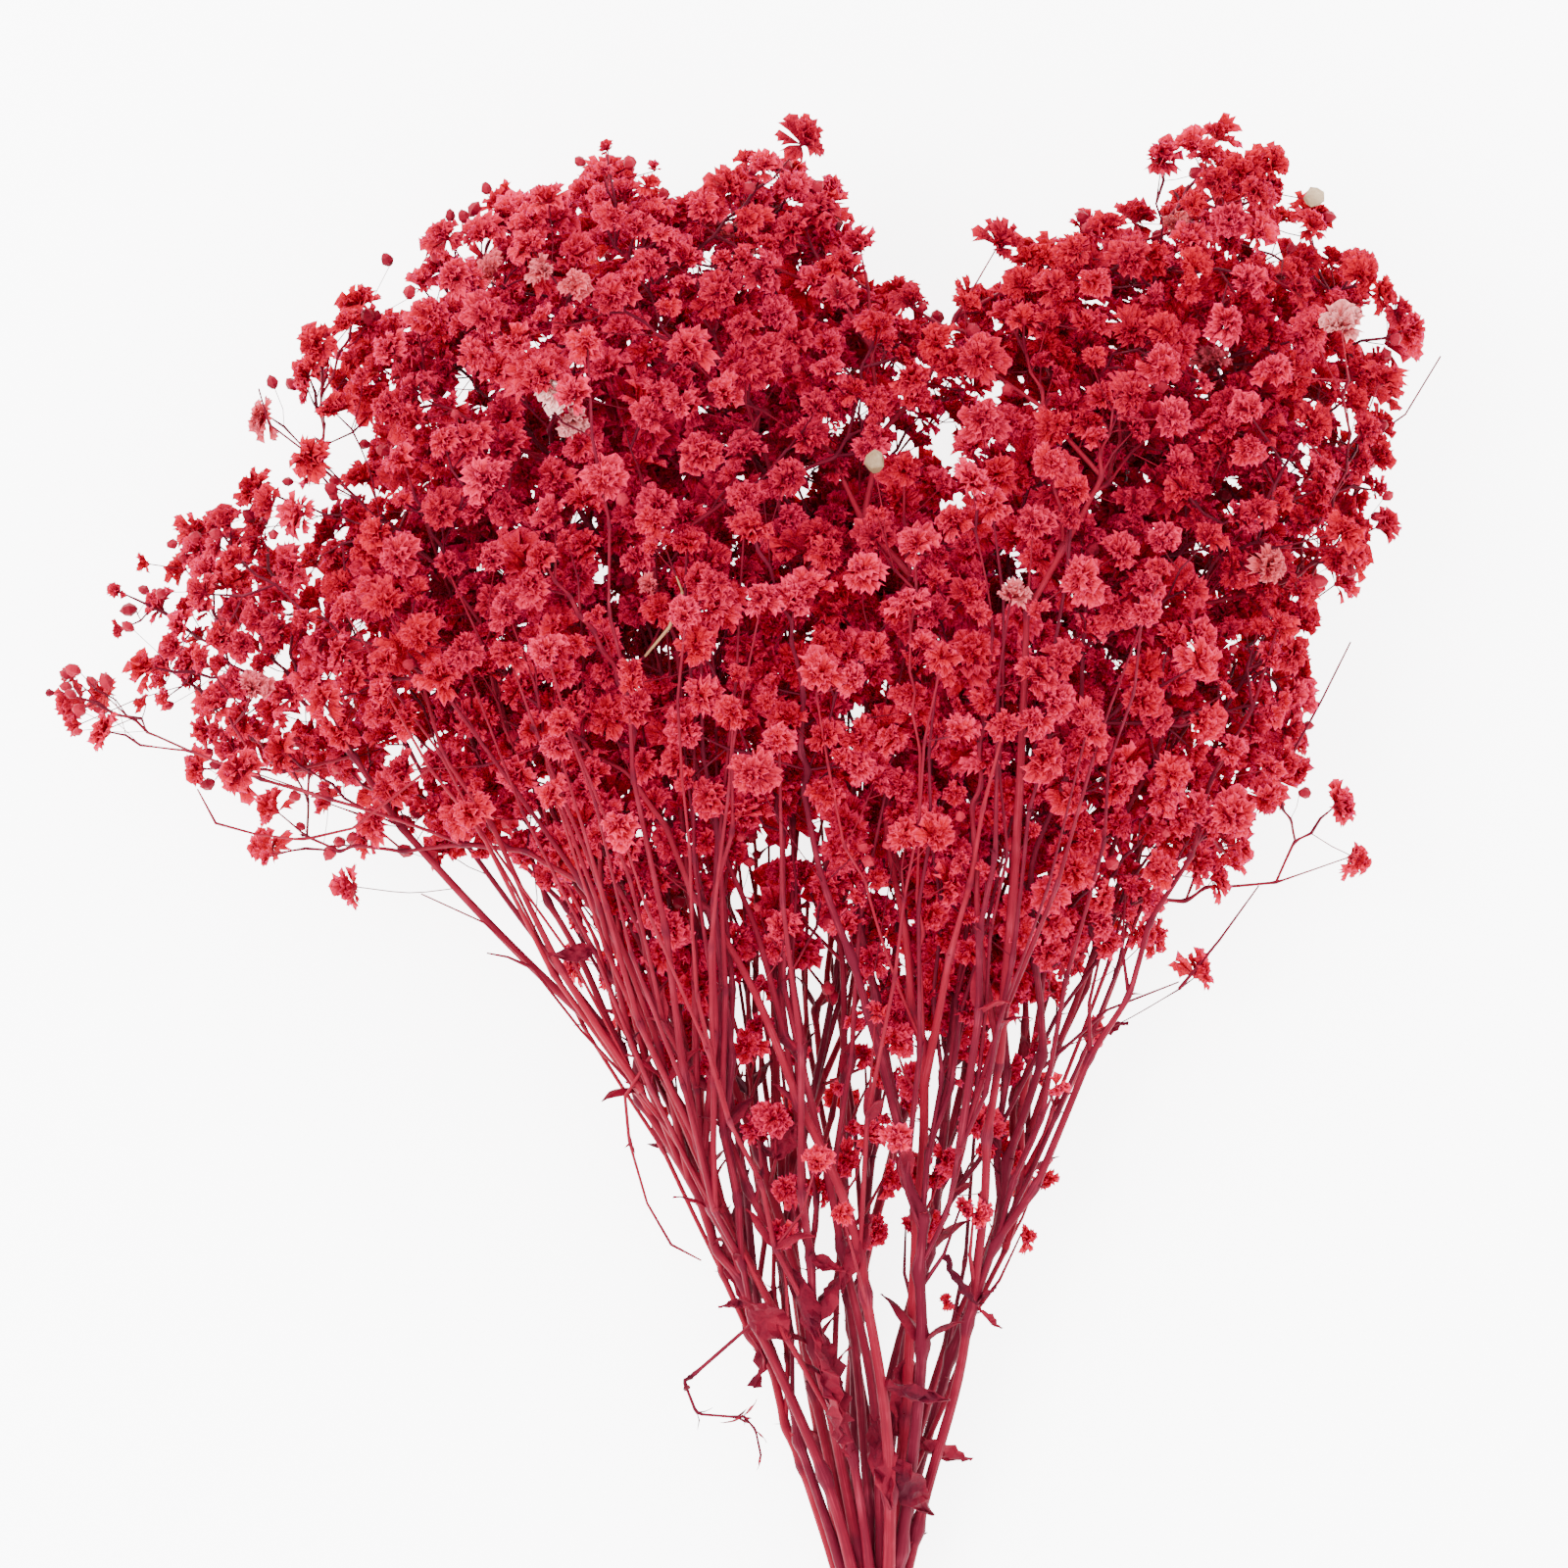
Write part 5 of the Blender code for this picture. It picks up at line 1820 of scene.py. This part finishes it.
# %% [markdown]
# ## The stalks of one spray
#
# The stalks fall in four thicknesses, and the thicker ones get more sides. A stalk needs few
# rows of points where it runs on, and more beside a knot, so it is first drawn very finely and
# then only the rows that count are kept. Along each we write its thickness, how far along it we
# are, how much dye it took, and where it is knotted. The foot of a stem is the darkest, since it
# stood in the dye.

# %% Stalk lines
SIDES = ((1.05, 10), (0.4, 6), (0.26, 4), (0.0, 3))
CARRIED = ("thick", "along", "tone", "undyed", "knot")
DRAWN_STEP = 0.7
STEM_FADE = 0.15
FADE_FROM_Y = (40.0, 150.0)
KNOT_LENGTH = 1.5
KNOT_LEAST = 0.5
KNOT_SWELL = 0.6
BESIDE_KNOT = (-1.5, -0.7, 0.7, 1.5)
ROWS_FROM = 0.3


def knotted_way(shoot, radius):
    """The rows of one stalk: its points, how far along each is, its thickness and its knots."""
    way, marks = smoothed(shoot["points"], DRAWN_STEP)
    thick = np.interp(np.arange(len(way)), marks, radius)
    far = np.append(0.0, np.cumsum(np.linalg.norm(np.diff(way, axis=0), axis=1)))
    knot = np.zeros(len(way))
    kept = set(marks)
    for at, share in nodes_of(shoot).items():
        length = KNOT_LENGTH * (KNOT_LEAST + radius[at])
        middle_far = far[marks[at]]
        knot = np.maximum(knot, np.exp(-((far - middle_far) / length) ** 2) * share)
        if radius[at] > ROWS_FROM:
            kept.update(np.searchsorted(far[:-1], middle_far + length * b) for b in BESIDE_KNOT)
    kept = sorted(kept)
    return way[kept], far[kept], (thick * (1 + KNOT_SWELL * knot))[kept], knot[kept]


def stalk_lines(shoots, tones):
    """For each number of sides, the points, edges and attributes of the stalks."""
    sets = {sides: {name: [] for name in ("points", "edges", *CARRIED)} for _, sides in SIDES}
    for index, shoot in shoots:
        radius = stalk_radius(shoot)
        sides = next(s for limit, s in SIDES if radius[0] >= limit)
        way, far, thick, knot = knotted_way(shoot, radius)
        held = sets[sides]
        start = sum(len(p) for p in held["points"])
        held["points"].append(placed(way))
        held["edges"] += [(start + k, start + k + 1) for k in range(len(way) - 1)]
        held["thick"].append(thick * MM)
        held["along"].append(far * MM)
        height = np.interp(way[:, 1], FADE_FROM_Y, (-STEM_FADE, STEM_FADE))
        held["tone"].append(tones[index] + height)
        held["knot"].append(knot)
        undyed = np.full(len(way), float("undyed" in shoot and not shoot["bloom"]))
        undyed[0] = max(undyed[0], shoot["level"] == 0)
        held["undyed"].append(undyed)
    return sets


def spray_stalks(sets):
    meshes = []
    for sides, held in sets.items():
        if not held["points"]:
            continue
        numbers = {name: np.concatenate(held[name]) for name in CARRIED}
        mesh = carrier(np.vstack(held["points"]), held["edges"], numbers, {})
        meshes.append(made_by(SWEEP, SWEEP_SOCKETS, mesh, {"Sides": sides, "Finish": STALK}))
    return meshes


print("stalks have", [sides for _, sides in SIDES], "sides")

# %% [markdown]
# ## The heads of one spray
#
# A bloom faces partly the way its twig points, partly away from the heart of the crown, and a
# little upwards. Its colour has a slow drift over the whole bunch, because the dye took
# unevenly, and a draw of its own. On top of that it carries painted light: higher blooms are a
# little lighter with pinker rims, and blooms in the lower crown much lighter and pinker, to make
# up for the shade that falls there. Patches that are darker or lighter red, patches with pinker
# rims, and the few blooms that stayed pale, are named by their place in the photograph. The
# topmost large bloom there gets the pale colour.
#
# A bloom that lies under others shows only between them. It gets fewer petals and a wider
# spread, which closes the crown for few triangles, and it needs no calyx.

# %% Heads and their colours
HEART = np.array((-25.0, 205.0, 30.0))
AWAY = (0.8, 0.6, 2.0)
FACE_TWIG = 0.6
FACE_OUT = 0.75
FACE_VARY = 0.36
FACE_UP = (0.0, 0.0, 0.12)
PALE_SPOTS = (
    (562, 424, 0.9), (572, 450, 0.35), (560, 300, 0.14), (520, 295, 0.1), (600, 300, 0.1),
    (1040, 605, 0.16), (270, 690, 0.1), (1340, 322, 0.3), (1180, 225, 0.1), (1245, 385, 0.08),
    (1290, 590, 0.1), (660, 615, 0.08), (740, 250, 0.06), (275, 436, 0.1),
)
PALE_REACH = 26.0
BIG_FIRST = 0.12
DRIFT_ACROSS = (97.0, 1.3)
DRIFT_DOWN = (83.0, 0.4)
LOW_FROM = 560
LOW_OVER = 300
TONE_MEAN = 0.47
TONE_DRIFT = 0.12
TONE_VARY = 0.31
FROST_MEAN = 0.04
FROST_VARY = 0.95
FROST_POWER = 3.0
# Painted light: how much lighter, with pinker rims, the higher blooms and the blooms of the lower crown
# are made.
HEIGHT_PAINTED_LIGHT = 0.06
LOW_PAINTED_LIGHT = 0.46
LOW_PAINTED_PINK = 0.45
# Patches with pinker rims, and patches of darker or lighter red.
PINKER_PATCHES = ((575, 320, 190, 0.5), (640, 520, 130, 0.3), (1040, 600, 110, 0.25), (960, 520, 90, 0.2))
DARKER_OR_LIGHTER_PATCHES = (
    (835, 470, 85, -0.6), (505, 580, 80, -0.5), (1160, 520, 85, -0.45), (1080, 750, 60, -0.6),
    (675, 670, 60, -0.4), (760, 500, 70, -0.35), (840, 745, 80, 0.45), (680, 580, 50, 0.4),
    (915, 425, 45, 0.4), (1000, 490, 50, 0.45), (860, 650, 60, 0.3), (440, 660, 50, 0.3),
    (600, 330, 110, 0.25), (1200, 860, 110, 0.3), (600, 900, 80, 0.3), (1210, 470, 50, -0.3),
)


def head_facing(shoot, random):
    """The way a bloom faces."""
    out = unit((shoot["points"][-1] - HEART) * AWAY)
    facing = shoot["way"] * FACE_TWIG + out * FACE_OUT + random.normal(0, FACE_VARY, 3)
    return unit(facing + FACE_UP)


def patch(pixel, x, y, wide):
    """How much of a soft round patch each place has, from 1 at its middle to 0."""
    far = np.hypot(pixel[:, 0] - x, pixel[:, 1] - y) / wide
    return np.exp(-far * far)


def head_colours(shoots, random):
    """Tone, frost and paleness of every bloom."""
    tips = np.array([s["points"][-1] for s in shoots])
    size = np.array([s["bloom"] for s in shoots])
    across, down = tips[:, 0] / PIXEL + NECK_PIXEL[0], NECK_PIXEL[1] - tips[:, 1] / PIXEL
    pixel = np.column_stack((across, down))
    drift = np.sin(pixel[:, 0] / DRIFT_ACROSS[0] + DRIFT_ACROSS[1])
    drift *= np.sin(pixel[:, 1] / DRIFT_DOWN[0] - DRIFT_DOWN[1])
    # Painted light: higher blooms and those of the lower crown get a lighter tone and pinker rims.
    height = (tips[:, 2] - axis_height(tips[:, 1])) / CROWN_DEEP
    low = np.clip((pixel[:, 1] - LOW_FROM) / LOW_OVER, 0.0, 1.0)
    tone = TONE_MEAN + TONE_DRIFT * drift + HEIGHT_PAINTED_LIGHT * height + LOW_PAINTED_LIGHT * low
    tone += random.normal(0, TONE_VARY, len(tips))
    # Patches of darker or lighter red, then patches with pinker rims.
    for x, y, wide, more in DARKER_OR_LIGHTER_PATCHES:
        tone += more * patch(pixel, x, y, wide)
    # Rim pink: random bleaching plus painted light on higher blooms and in the lower crown.
    frost_and_highlight = FROST_MEAN + HEIGHT_PAINTED_LIGHT * height + LOW_PAINTED_PINK * low
    frost_and_highlight += FROST_VARY * random.uniform(0, 1, len(tips)) ** FROST_POWER
    for x, y, wide, more in PINKER_PATCHES:
        frost_and_highlight += more * patch(pixel, x, y, wide)
    pale = np.zeros(len(tips))
    for x, y, amount in PALE_SPOTS:
        beside = np.hypot(pixel[:, 0] - x, pixel[:, 1] - y) / PALE_REACH
        best = np.argmax(height - beside + BIG_FIRST * size)
        pale[best] = amount
    return np.clip(tone, 0.0, 1.1), np.clip(frost_and_highlight, 0.05, 1.1), pale


random = np.random.default_rng(SEED + 4)
tone, frost_and_highlight, pale = head_colours(full.shoots, random)
facing = np.array([head_facing(s, random) for s in full.shoots])
print("mean tone", tone.mean().round(2), "pale blooms", (pale > 0).sum())

# %% Blooms that lie under others
SMALL_LIMIT = 4.3
INSIDE_EDGE = 10.0
OVER_REACH = 6.0
OVER_RISE = 2.0
HIDDEN_UNDER = 2


def hidden_heads(shoots):
    """Which blooms lie under at least two others and away from the crown's edge."""
    tips = np.array([s["points"][-1] for s in shoots])
    size = np.array([s["bloom"] for s in shoots])
    above = []
    for tip in tips:
        near = np.hypot(*(tips[:, :2] - tip[:2]).T) < OVER_REACH
        above.append((near & (tips[:, 2] > tip[2] + OVER_RISE) & (size > SMALL_LIMIT)).sum())
    return (edge_distance(tips) > INSIDE_EDGE) & (np.array(above) >= HIDDEN_UNDER)


hidden = hidden_heads(full.shoots)
print("blooms under others", hidden.sum())

# %% Put the parts of a head together
GOLDEN_ANGLE = 2.39996
FULL_TURN = 6.28
PETAL_COUNT = 20
HIDDEN_COUNT = 9
SMALL_COUNT = 12
HEAD_SHARE = 0.98
HIDDEN_SHARE = 1.55
HEAD_SPREAD = (1.0, 1.65)
HIDDEN_SPREAD = 1.15
SMALL_SPREAD = 0.85
HEAD_INNER_SIZE = 0.86
HEAD_WAVER = 0.38
HEAD_TONE_WAVER = 0.28


def head_points(chosen, sizes, spreads):
    """The points that carry the heads of the chosen shoots."""
    places = placed([full.shoots[k]["points"][-1] for k in chosen])
    numbers = {
        "size": np.asarray(sizes) * MM, "spread": spreads, "tone": tone[chosen],
        "frost_and_highlight": frost_and_highlight[chosen], "pale": pale[chosen],
        "roll": random.uniform(0, FULL_TURN, len(chosen)),
    }
    return carrier(places, [], numbers, {"axis": facing[chosen]})


def set_heads(chosen, sizes, spreads, parts, copies, finish, seed, **numbers):
    """Parts of one sort on the chosen tips; numbers are the tree's other inputs."""
    inputs = {
        "Parts": parts, "Copies": copies, "Inner Lean": 0.0, "Inner Size": 1.0,
        "Turn": GOLDEN_ANGLE, "Waver": 0.0, "Tone Waver": 0.0, "Seed": seed, "Finish": finish,
    }
    for name, value in numbers.items():
        inputs[name.replace("_", " ").title()] = value
    mesh = head_points(chosen, sizes, spreads)
    return made_by(SETTING, SETTING_SOCKETS, mesh, inputs)


def spray_heads(own, seed):
    """Petals, calyxes and buds of one spray."""
    size = np.array([full.shoots[k]["bloom"] for k in own])
    bare = np.array(["undyed" in full.shoots[k] for k in own]) & (size > 0)
    own = np.array(own)
    meshes = []
    if bare.any():
        none = np.zeros(bare.sum())
        meshes.append(set_heads(own[bare], size[bare], none, bud_kinds, 1, BARE, seed))
        own, size = own[~bare], size[~bare]
    large = size >= SMALL_LIMIT
    for pick, copies in (
        ((size >= BUD_LIMIT) & ~large, SMALL_COUNT),
        (large & hidden[own], HIDDEN_COUNT),
        (large & ~hidden[own], PETAL_COUNT),
    ):
        chosen = own[pick]
        if not len(chosen):
            continue
        sizes = size[pick] * (HIDDEN_SHARE if copies == HIDDEN_COUNT else HEAD_SHARE)
        spreads = random.uniform(*HEAD_SPREAD, len(chosen))
        spreads *= {SMALL_COUNT: SMALL_SPREAD, HIDDEN_COUNT: HIDDEN_SPREAD}.get(copies, 1.0)
        meshes.append(set_heads(
            chosen, sizes, spreads, petal_kinds, copies, PETAL, seed,
            inner_size=HEAD_INNER_SIZE, waver=HEAD_WAVER, tone_waver=HEAD_TONE_WAVER,
        ))
        if copies != HIDDEN_COUNT:
            none = np.zeros(len(chosen))
            meshes.append(set_heads(chosen, sizes, none, calyx_kinds, 1, CALYX, seed))
    pick = (size > 0) & (size < BUD_LIMIT)
    if pick.any():
        none = np.zeros(pick.sum())
        meshes.append(set_heads(own[pick], size[pick], none, bud_kinds, 1, CALYX, seed))
    return meshes


print("a bloom has", PETAL_COUNT, "petals, a small one", SMALL_COUNT)

# %% [markdown]
# ## Leaves and bracts
#
# At every joint of the lower stem sat a pair of narrow leaves, now dry, curled and mostly
# broken off. Higher up they shrink to bracts no longer than a grain of rice, one on each side
# of a fork. Both are the same blade at two sizes, set by the same tree as the petals. A few
# broad, dark and crumpled leaves low down catch the eye, so those stand where they are in the
# photograph: each row gives the place, the length in mm and the way the leaf points, in degrees.

# %% Leaves at the joints
LEAF_LONG = (7.0, 16.0)
BRACT_LONG = (2.4, 5.2)
LEAFY_BELOW = 165.0
CROWN_BRACTS = 0.2
LEAF_CHANCE = 0.18
LEAF_STEM = 0.5
LEAF_HEIGHT = 14.0
JOINT_STEM = 0.3
BROAD_STEM = 0.6
LEAF_TILT = 0.22
PAIR_SPREAD = (0.2, 0.65)
LONE_SPREAD = (0.0, 0.1)
PAIR_INNER_SIZE = 0.75
PAIR_TONES = (0.0, 0.8)
LEAF_WAVER = 0.25
LEAF_TONE_WAVER = 0.2
BROAD_LEAVES = (
    (800, 1352, 25.0, 128), (812, 1300, 26.0, -60), (880, 1462, 29.0, -78), (926, 1478, 20.0, -48),
    (770, 1338, 23.0, 95), (838, 1345, 25.0, -75), (820, 1362, 22.0, 100), (905, 1500, 23.0, -84),
    (790, 1322, 25.0, -96), (845, 1390, 23.0, -86), (925, 1400, 20.0, -95), (862, 1420, 22.0, -100),
    (893, 1418, 17.0, -8), (905, 1262, 17.0, -120), (965, 1300, 17.0, -72), (1000, 1345, 9.0, 20),
    (1000, 1345, 9.0, -40), (1108, 1062, 15.0, 40), (600, 988, 13.0, 178), (782, 1170, 12.0, 55),
    (790, 1175, 10.0, 150), (830, 1285, 13.0, -30), (875, 1275, 11.0, 75), (760, 1345, 8.0, 200),
)
TWIG_LEAVES = (
    (757, 1452, 6.5, 25), (757, 1452, 6.0, 220), (771, 1466, 3.6, -20), (776, 1494, 4.0, -70),
)
BROAD_TONES = (0.0, 0.5)
TWIG_TONES = (0.9, 1.4)


def joint_leaves(shoots, random):
    """Place, axis and length of the pairs of leaves, and of the pairs of bracts."""
    leaves, bracts = [], []
    for _, shoot in shoots:
        radius, points = stalk_radius(shoot), shoot["points"]
        for at in sorted(nodes_of(shoot)):
            if radius[at] < JOINT_STEM:
                continue
            axis = unit(points[at + 1] - points[at - 1])
            low = points[at][1] < LEAFY_BELOW
            leafy = low and points[at][2] > LEAF_HEIGHT and radius[at] > LEAF_STEM
            chance = random.random()
            if leafy and chance < LEAF_CHANCE:
                leaves.append((points[at], axis, random.uniform(*LEAF_LONG)))
            elif low or chance < CROWN_BRACTS:
                bracts.append((points[at], axis, random.uniform(*BRACT_LONG)))
    return leaves, bracts


def known_leaves(wanted, lowest):
    """Leaves at the places given in the photograph, each on the stalk that passes there."""
    found = {}
    for x, y, length, way in wanted:
        number, at = nearest_on(full, (x, y), lowest)
        shoot, way = full.shoots[number], math.radians(way)
        axis = unit(np.array((math.cos(way), math.sin(way), LEAF_TILT)))
        found.setdefault(shoot["spray"], []).append((shoot["points"][at], axis, length))
    return found


def set_leaves(found, kinds, random, seed, copies=2, spread=PAIR_SPREAD, tones=PAIR_TONES):
    """Pairs of leaves, or lone ones, at the places found."""
    if not found:
        return []
    places, axes, sizes = zip(*found)
    count = len(places)
    numbers = {
        "size": np.array(sizes) * MM, "spread": random.uniform(*spread, count),
        "tone": random.uniform(*tones, count), "roll": random.uniform(0, FULL_TURN, count),
    }
    mesh = carrier(placed(places), [], numbers, {"axis": np.array(axes)})
    inputs = {
        "Parts": kinds, "Copies": copies, "Inner Lean": spread[0],
        "Inner Size": PAIR_INNER_SIZE if copies > 1 else 1.0, "Turn": math.pi,
        "Waver": LEAF_WAVER, "Tone Waver": LEAF_TONE_WAVER, "Seed": seed, "Finish": LEAF,
    }
    return [made_by(SETTING, SETTING_SOCKETS, mesh, inputs)]


broad_leaves = known_leaves(BROAD_LEAVES, BROAD_STEM)
twig_leaves = known_leaves(TWIG_LEAVES, TWIG_THICK)


def spray_leaves(shoots, random, seed):
    """All leaves of one spray: pairs, bracts, and the ones that stand at known places."""
    spray = shoots[0][1]["spray"]
    leaves, bracts = joint_leaves(shoots, random)
    made = set_leaves(leaves, leaf_kinds, random, seed)
    made += set_leaves(bracts, bract_kinds, random, seed + 1)
    broad, slim = broad_leaves.get(spray, []), twig_leaves.get(spray, [])
    made += set_leaves(broad, broad_kinds, random, seed + 2, 1, LONE_SPREAD, BROAD_TONES)
    return made + set_leaves(slim, leaf_kinds, random, seed + 3, 1, LONE_SPREAD, TWIG_TONES)


print("broad leaves", sum(len(found) for found in broad_leaves.values()))

# %% [markdown]
# ## Every spray
#
# Now each spray is put together: its stalks, heads and leaves become one object, which replaces
# the solid of the same spray. It rides on the only body there is. A branch has nearly the colour
# of the stalk that bears it.

# %% Make the sprays
STEM_TONES = (0.0, 0.8)
TONE_STEP = 0.16
SEEDS_A_SPRAY = 100
LEAF_SEED = 50
random = np.random.default_rng(SEED + 5)
stalk_tone = np.zeros(len(full.shoots))
for k, shoot in enumerate(full.shoots):
    parent = shoot["origin"][0]
    base = random.uniform(*STEM_TONES) if parent < 0 else stalk_tone[parent]
    stalk_tone[k] = np.clip(base + random.normal(0, TONE_STEP), 0.0, 1.0)


def triangles(thing):
    return sum(len(p.vertices) - 2 for p in thing.data.polygons)


sprays = []
for number, name in enumerate(SPRAYS):
    own = [(k, s) for k, s in enumerate(full.shoots) if s["spray"] == number]
    meshes = spray_stalks(stalk_lines(own, stalk_tone))
    meshes += spray_heads([k for k, _ in own], SEEDS_A_SPRAY * number)
    meshes += spray_leaves(own, random, SEEDS_A_SPRAY * number + LEAF_SEED)
    spray = joined("gypsophila_" + name, meshes)
    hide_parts(name)
    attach(spray, "root")
    sprays.append(spray)
    print(spray.name, "has", triangles(spray), "triangles")
print("all sprays have", sum(triangles(s) for s in sprays), "triangles")

# %% [markdown]
# ## The rubber band
#
# What holds nineteen stems at a point is a rubber band wound three times round them. Each turn
# is a soft oval in section, and the turns lie side by side round the six corner stems, in the
# space that the solid band has. The sweeping tree would do too, but here the section matters
# more than the path, so each ring is built row by row: every row is one oval.

# %% Rubber band
BAND_SPAN = 2.6
BAND_THICKNESS = 1.1
BAND_GAP = 0.22
BAND_TURNS = 3
BAND_COLOUR = (0.50, 0.31, 0.15, 1.0)
BAND_PALE = (0.66, 0.47, 0.28, 1.0)
BAND_SIDES = 10
CORNER_STEPS = 7
BAND_WOBBLE = 0.06
BESIDE_NEXT = 0.94
FLATTENED = 0.98
RUBBER_GRAIN = 2400.0
RUBBER_BLOTCH = 300.0
RUBBER_ROUGH = (0.5, 0.25)
RUBBER_RELIEF = (0.3, 0.0003)


def band_path():
    """The closed way of the band round the hexagon of stems, with the direction outwards."""
    path = []
    for corner in range(6):
        side = math.radians(60 * corner)
        for step in np.linspace(-30, 30, CORNER_STEPS):
            turn = side + math.radians(step)
            out = np.array((math.cos(turn), math.sin(turn)))
            heart = RINGS * SLOT_PITCH * np.array((math.cos(side), math.sin(side)))
            path.append((heart + out * (STEM_RADIUS + BAND_GAP), out))
    return path


def rubber_finish():
    material, bench, shader = new_finish("natural rubber")
    fine = mottle(bench, RUBBER_GRAIN, FINE_DETAIL)
    blotch = mottle(bench, RUBBER_BLOTCH)
    pale = (blotch * 0.8 + fine * 0.3).clamped()
    connect(bench, blend(bench, pale, BAND_COLOUR, BAND_PALE), shader, "Base Color")
    connect(bench, RUBBER_ROUGH[0] + fine * RUBBER_ROUGH[1], shader, "Roughness")
    relief(bench, shader, fine, *RUBBER_RELIEF)
    return material


def make_band():
    """The turns of the band side by side, each a closed ring of ovals."""
    bm = bmesh.new()
    path = band_path()
    pitch = 2 * BAND_SPAN / BAND_TURNS
    for turn in range(BAND_TURNS):
        centre_y = -BAND_SPAN + pitch * (turn + 0.5)
        rows = []
        for k, (inner, out) in enumerate(path):
            wobble = BAND_WOBBLE * math.sin(2 * math.pi * k / len(path) + 2 * turn)
            row = []
            for s in range(BAND_SIDES):
                angle = 2 * math.pi * s / BAND_SIDES
                aside = centre_y + wobble + 0.5 * pitch * math.cos(angle) * BESIDE_NEXT
                deep = BAND_THICKNESS * 0.5 * (1 + math.sin(angle) * FLATTENED)
                x, z = inner + out * deep
                row.append(bm.verts.new(placed((x, aside, z + axis_height(aside)))))
            rows.append(row)
        for k, row in enumerate(rows):
            before = rows[k - 1]
            for s in range(BAND_SIDES):
                bm.faces.new((before[s], before[s - 1], row[s - 1], row[s]))
    bmesh.ops.recalc_face_normals(bm, faces=bm.faces)
    for face in bm.faces:
        face.smooth = True
    mesh = bpy.data.meshes.new("rubber_band_wound")
    bm.to_mesh(mesh)
    bm.free()
    mesh.materials.append(rubber_finish())
    band = bpy.data.objects.new("rubber_band_wound", mesh)
    bpy.context.scene.collection.objects.link(band)
    return band


band = make_band()
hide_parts("rubber_band")
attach(band, "root")
print("band has", triangles(band), "triangles")

# %% [markdown]
# ## Putting away
#
# The single petals and leaves have done their work and go.

# %% Finish
for kinds in KINDS:
    for part in list(kinds.objects):
        bpy.data.objects.remove(part)
    bpy.data.collections.remove(kinds)
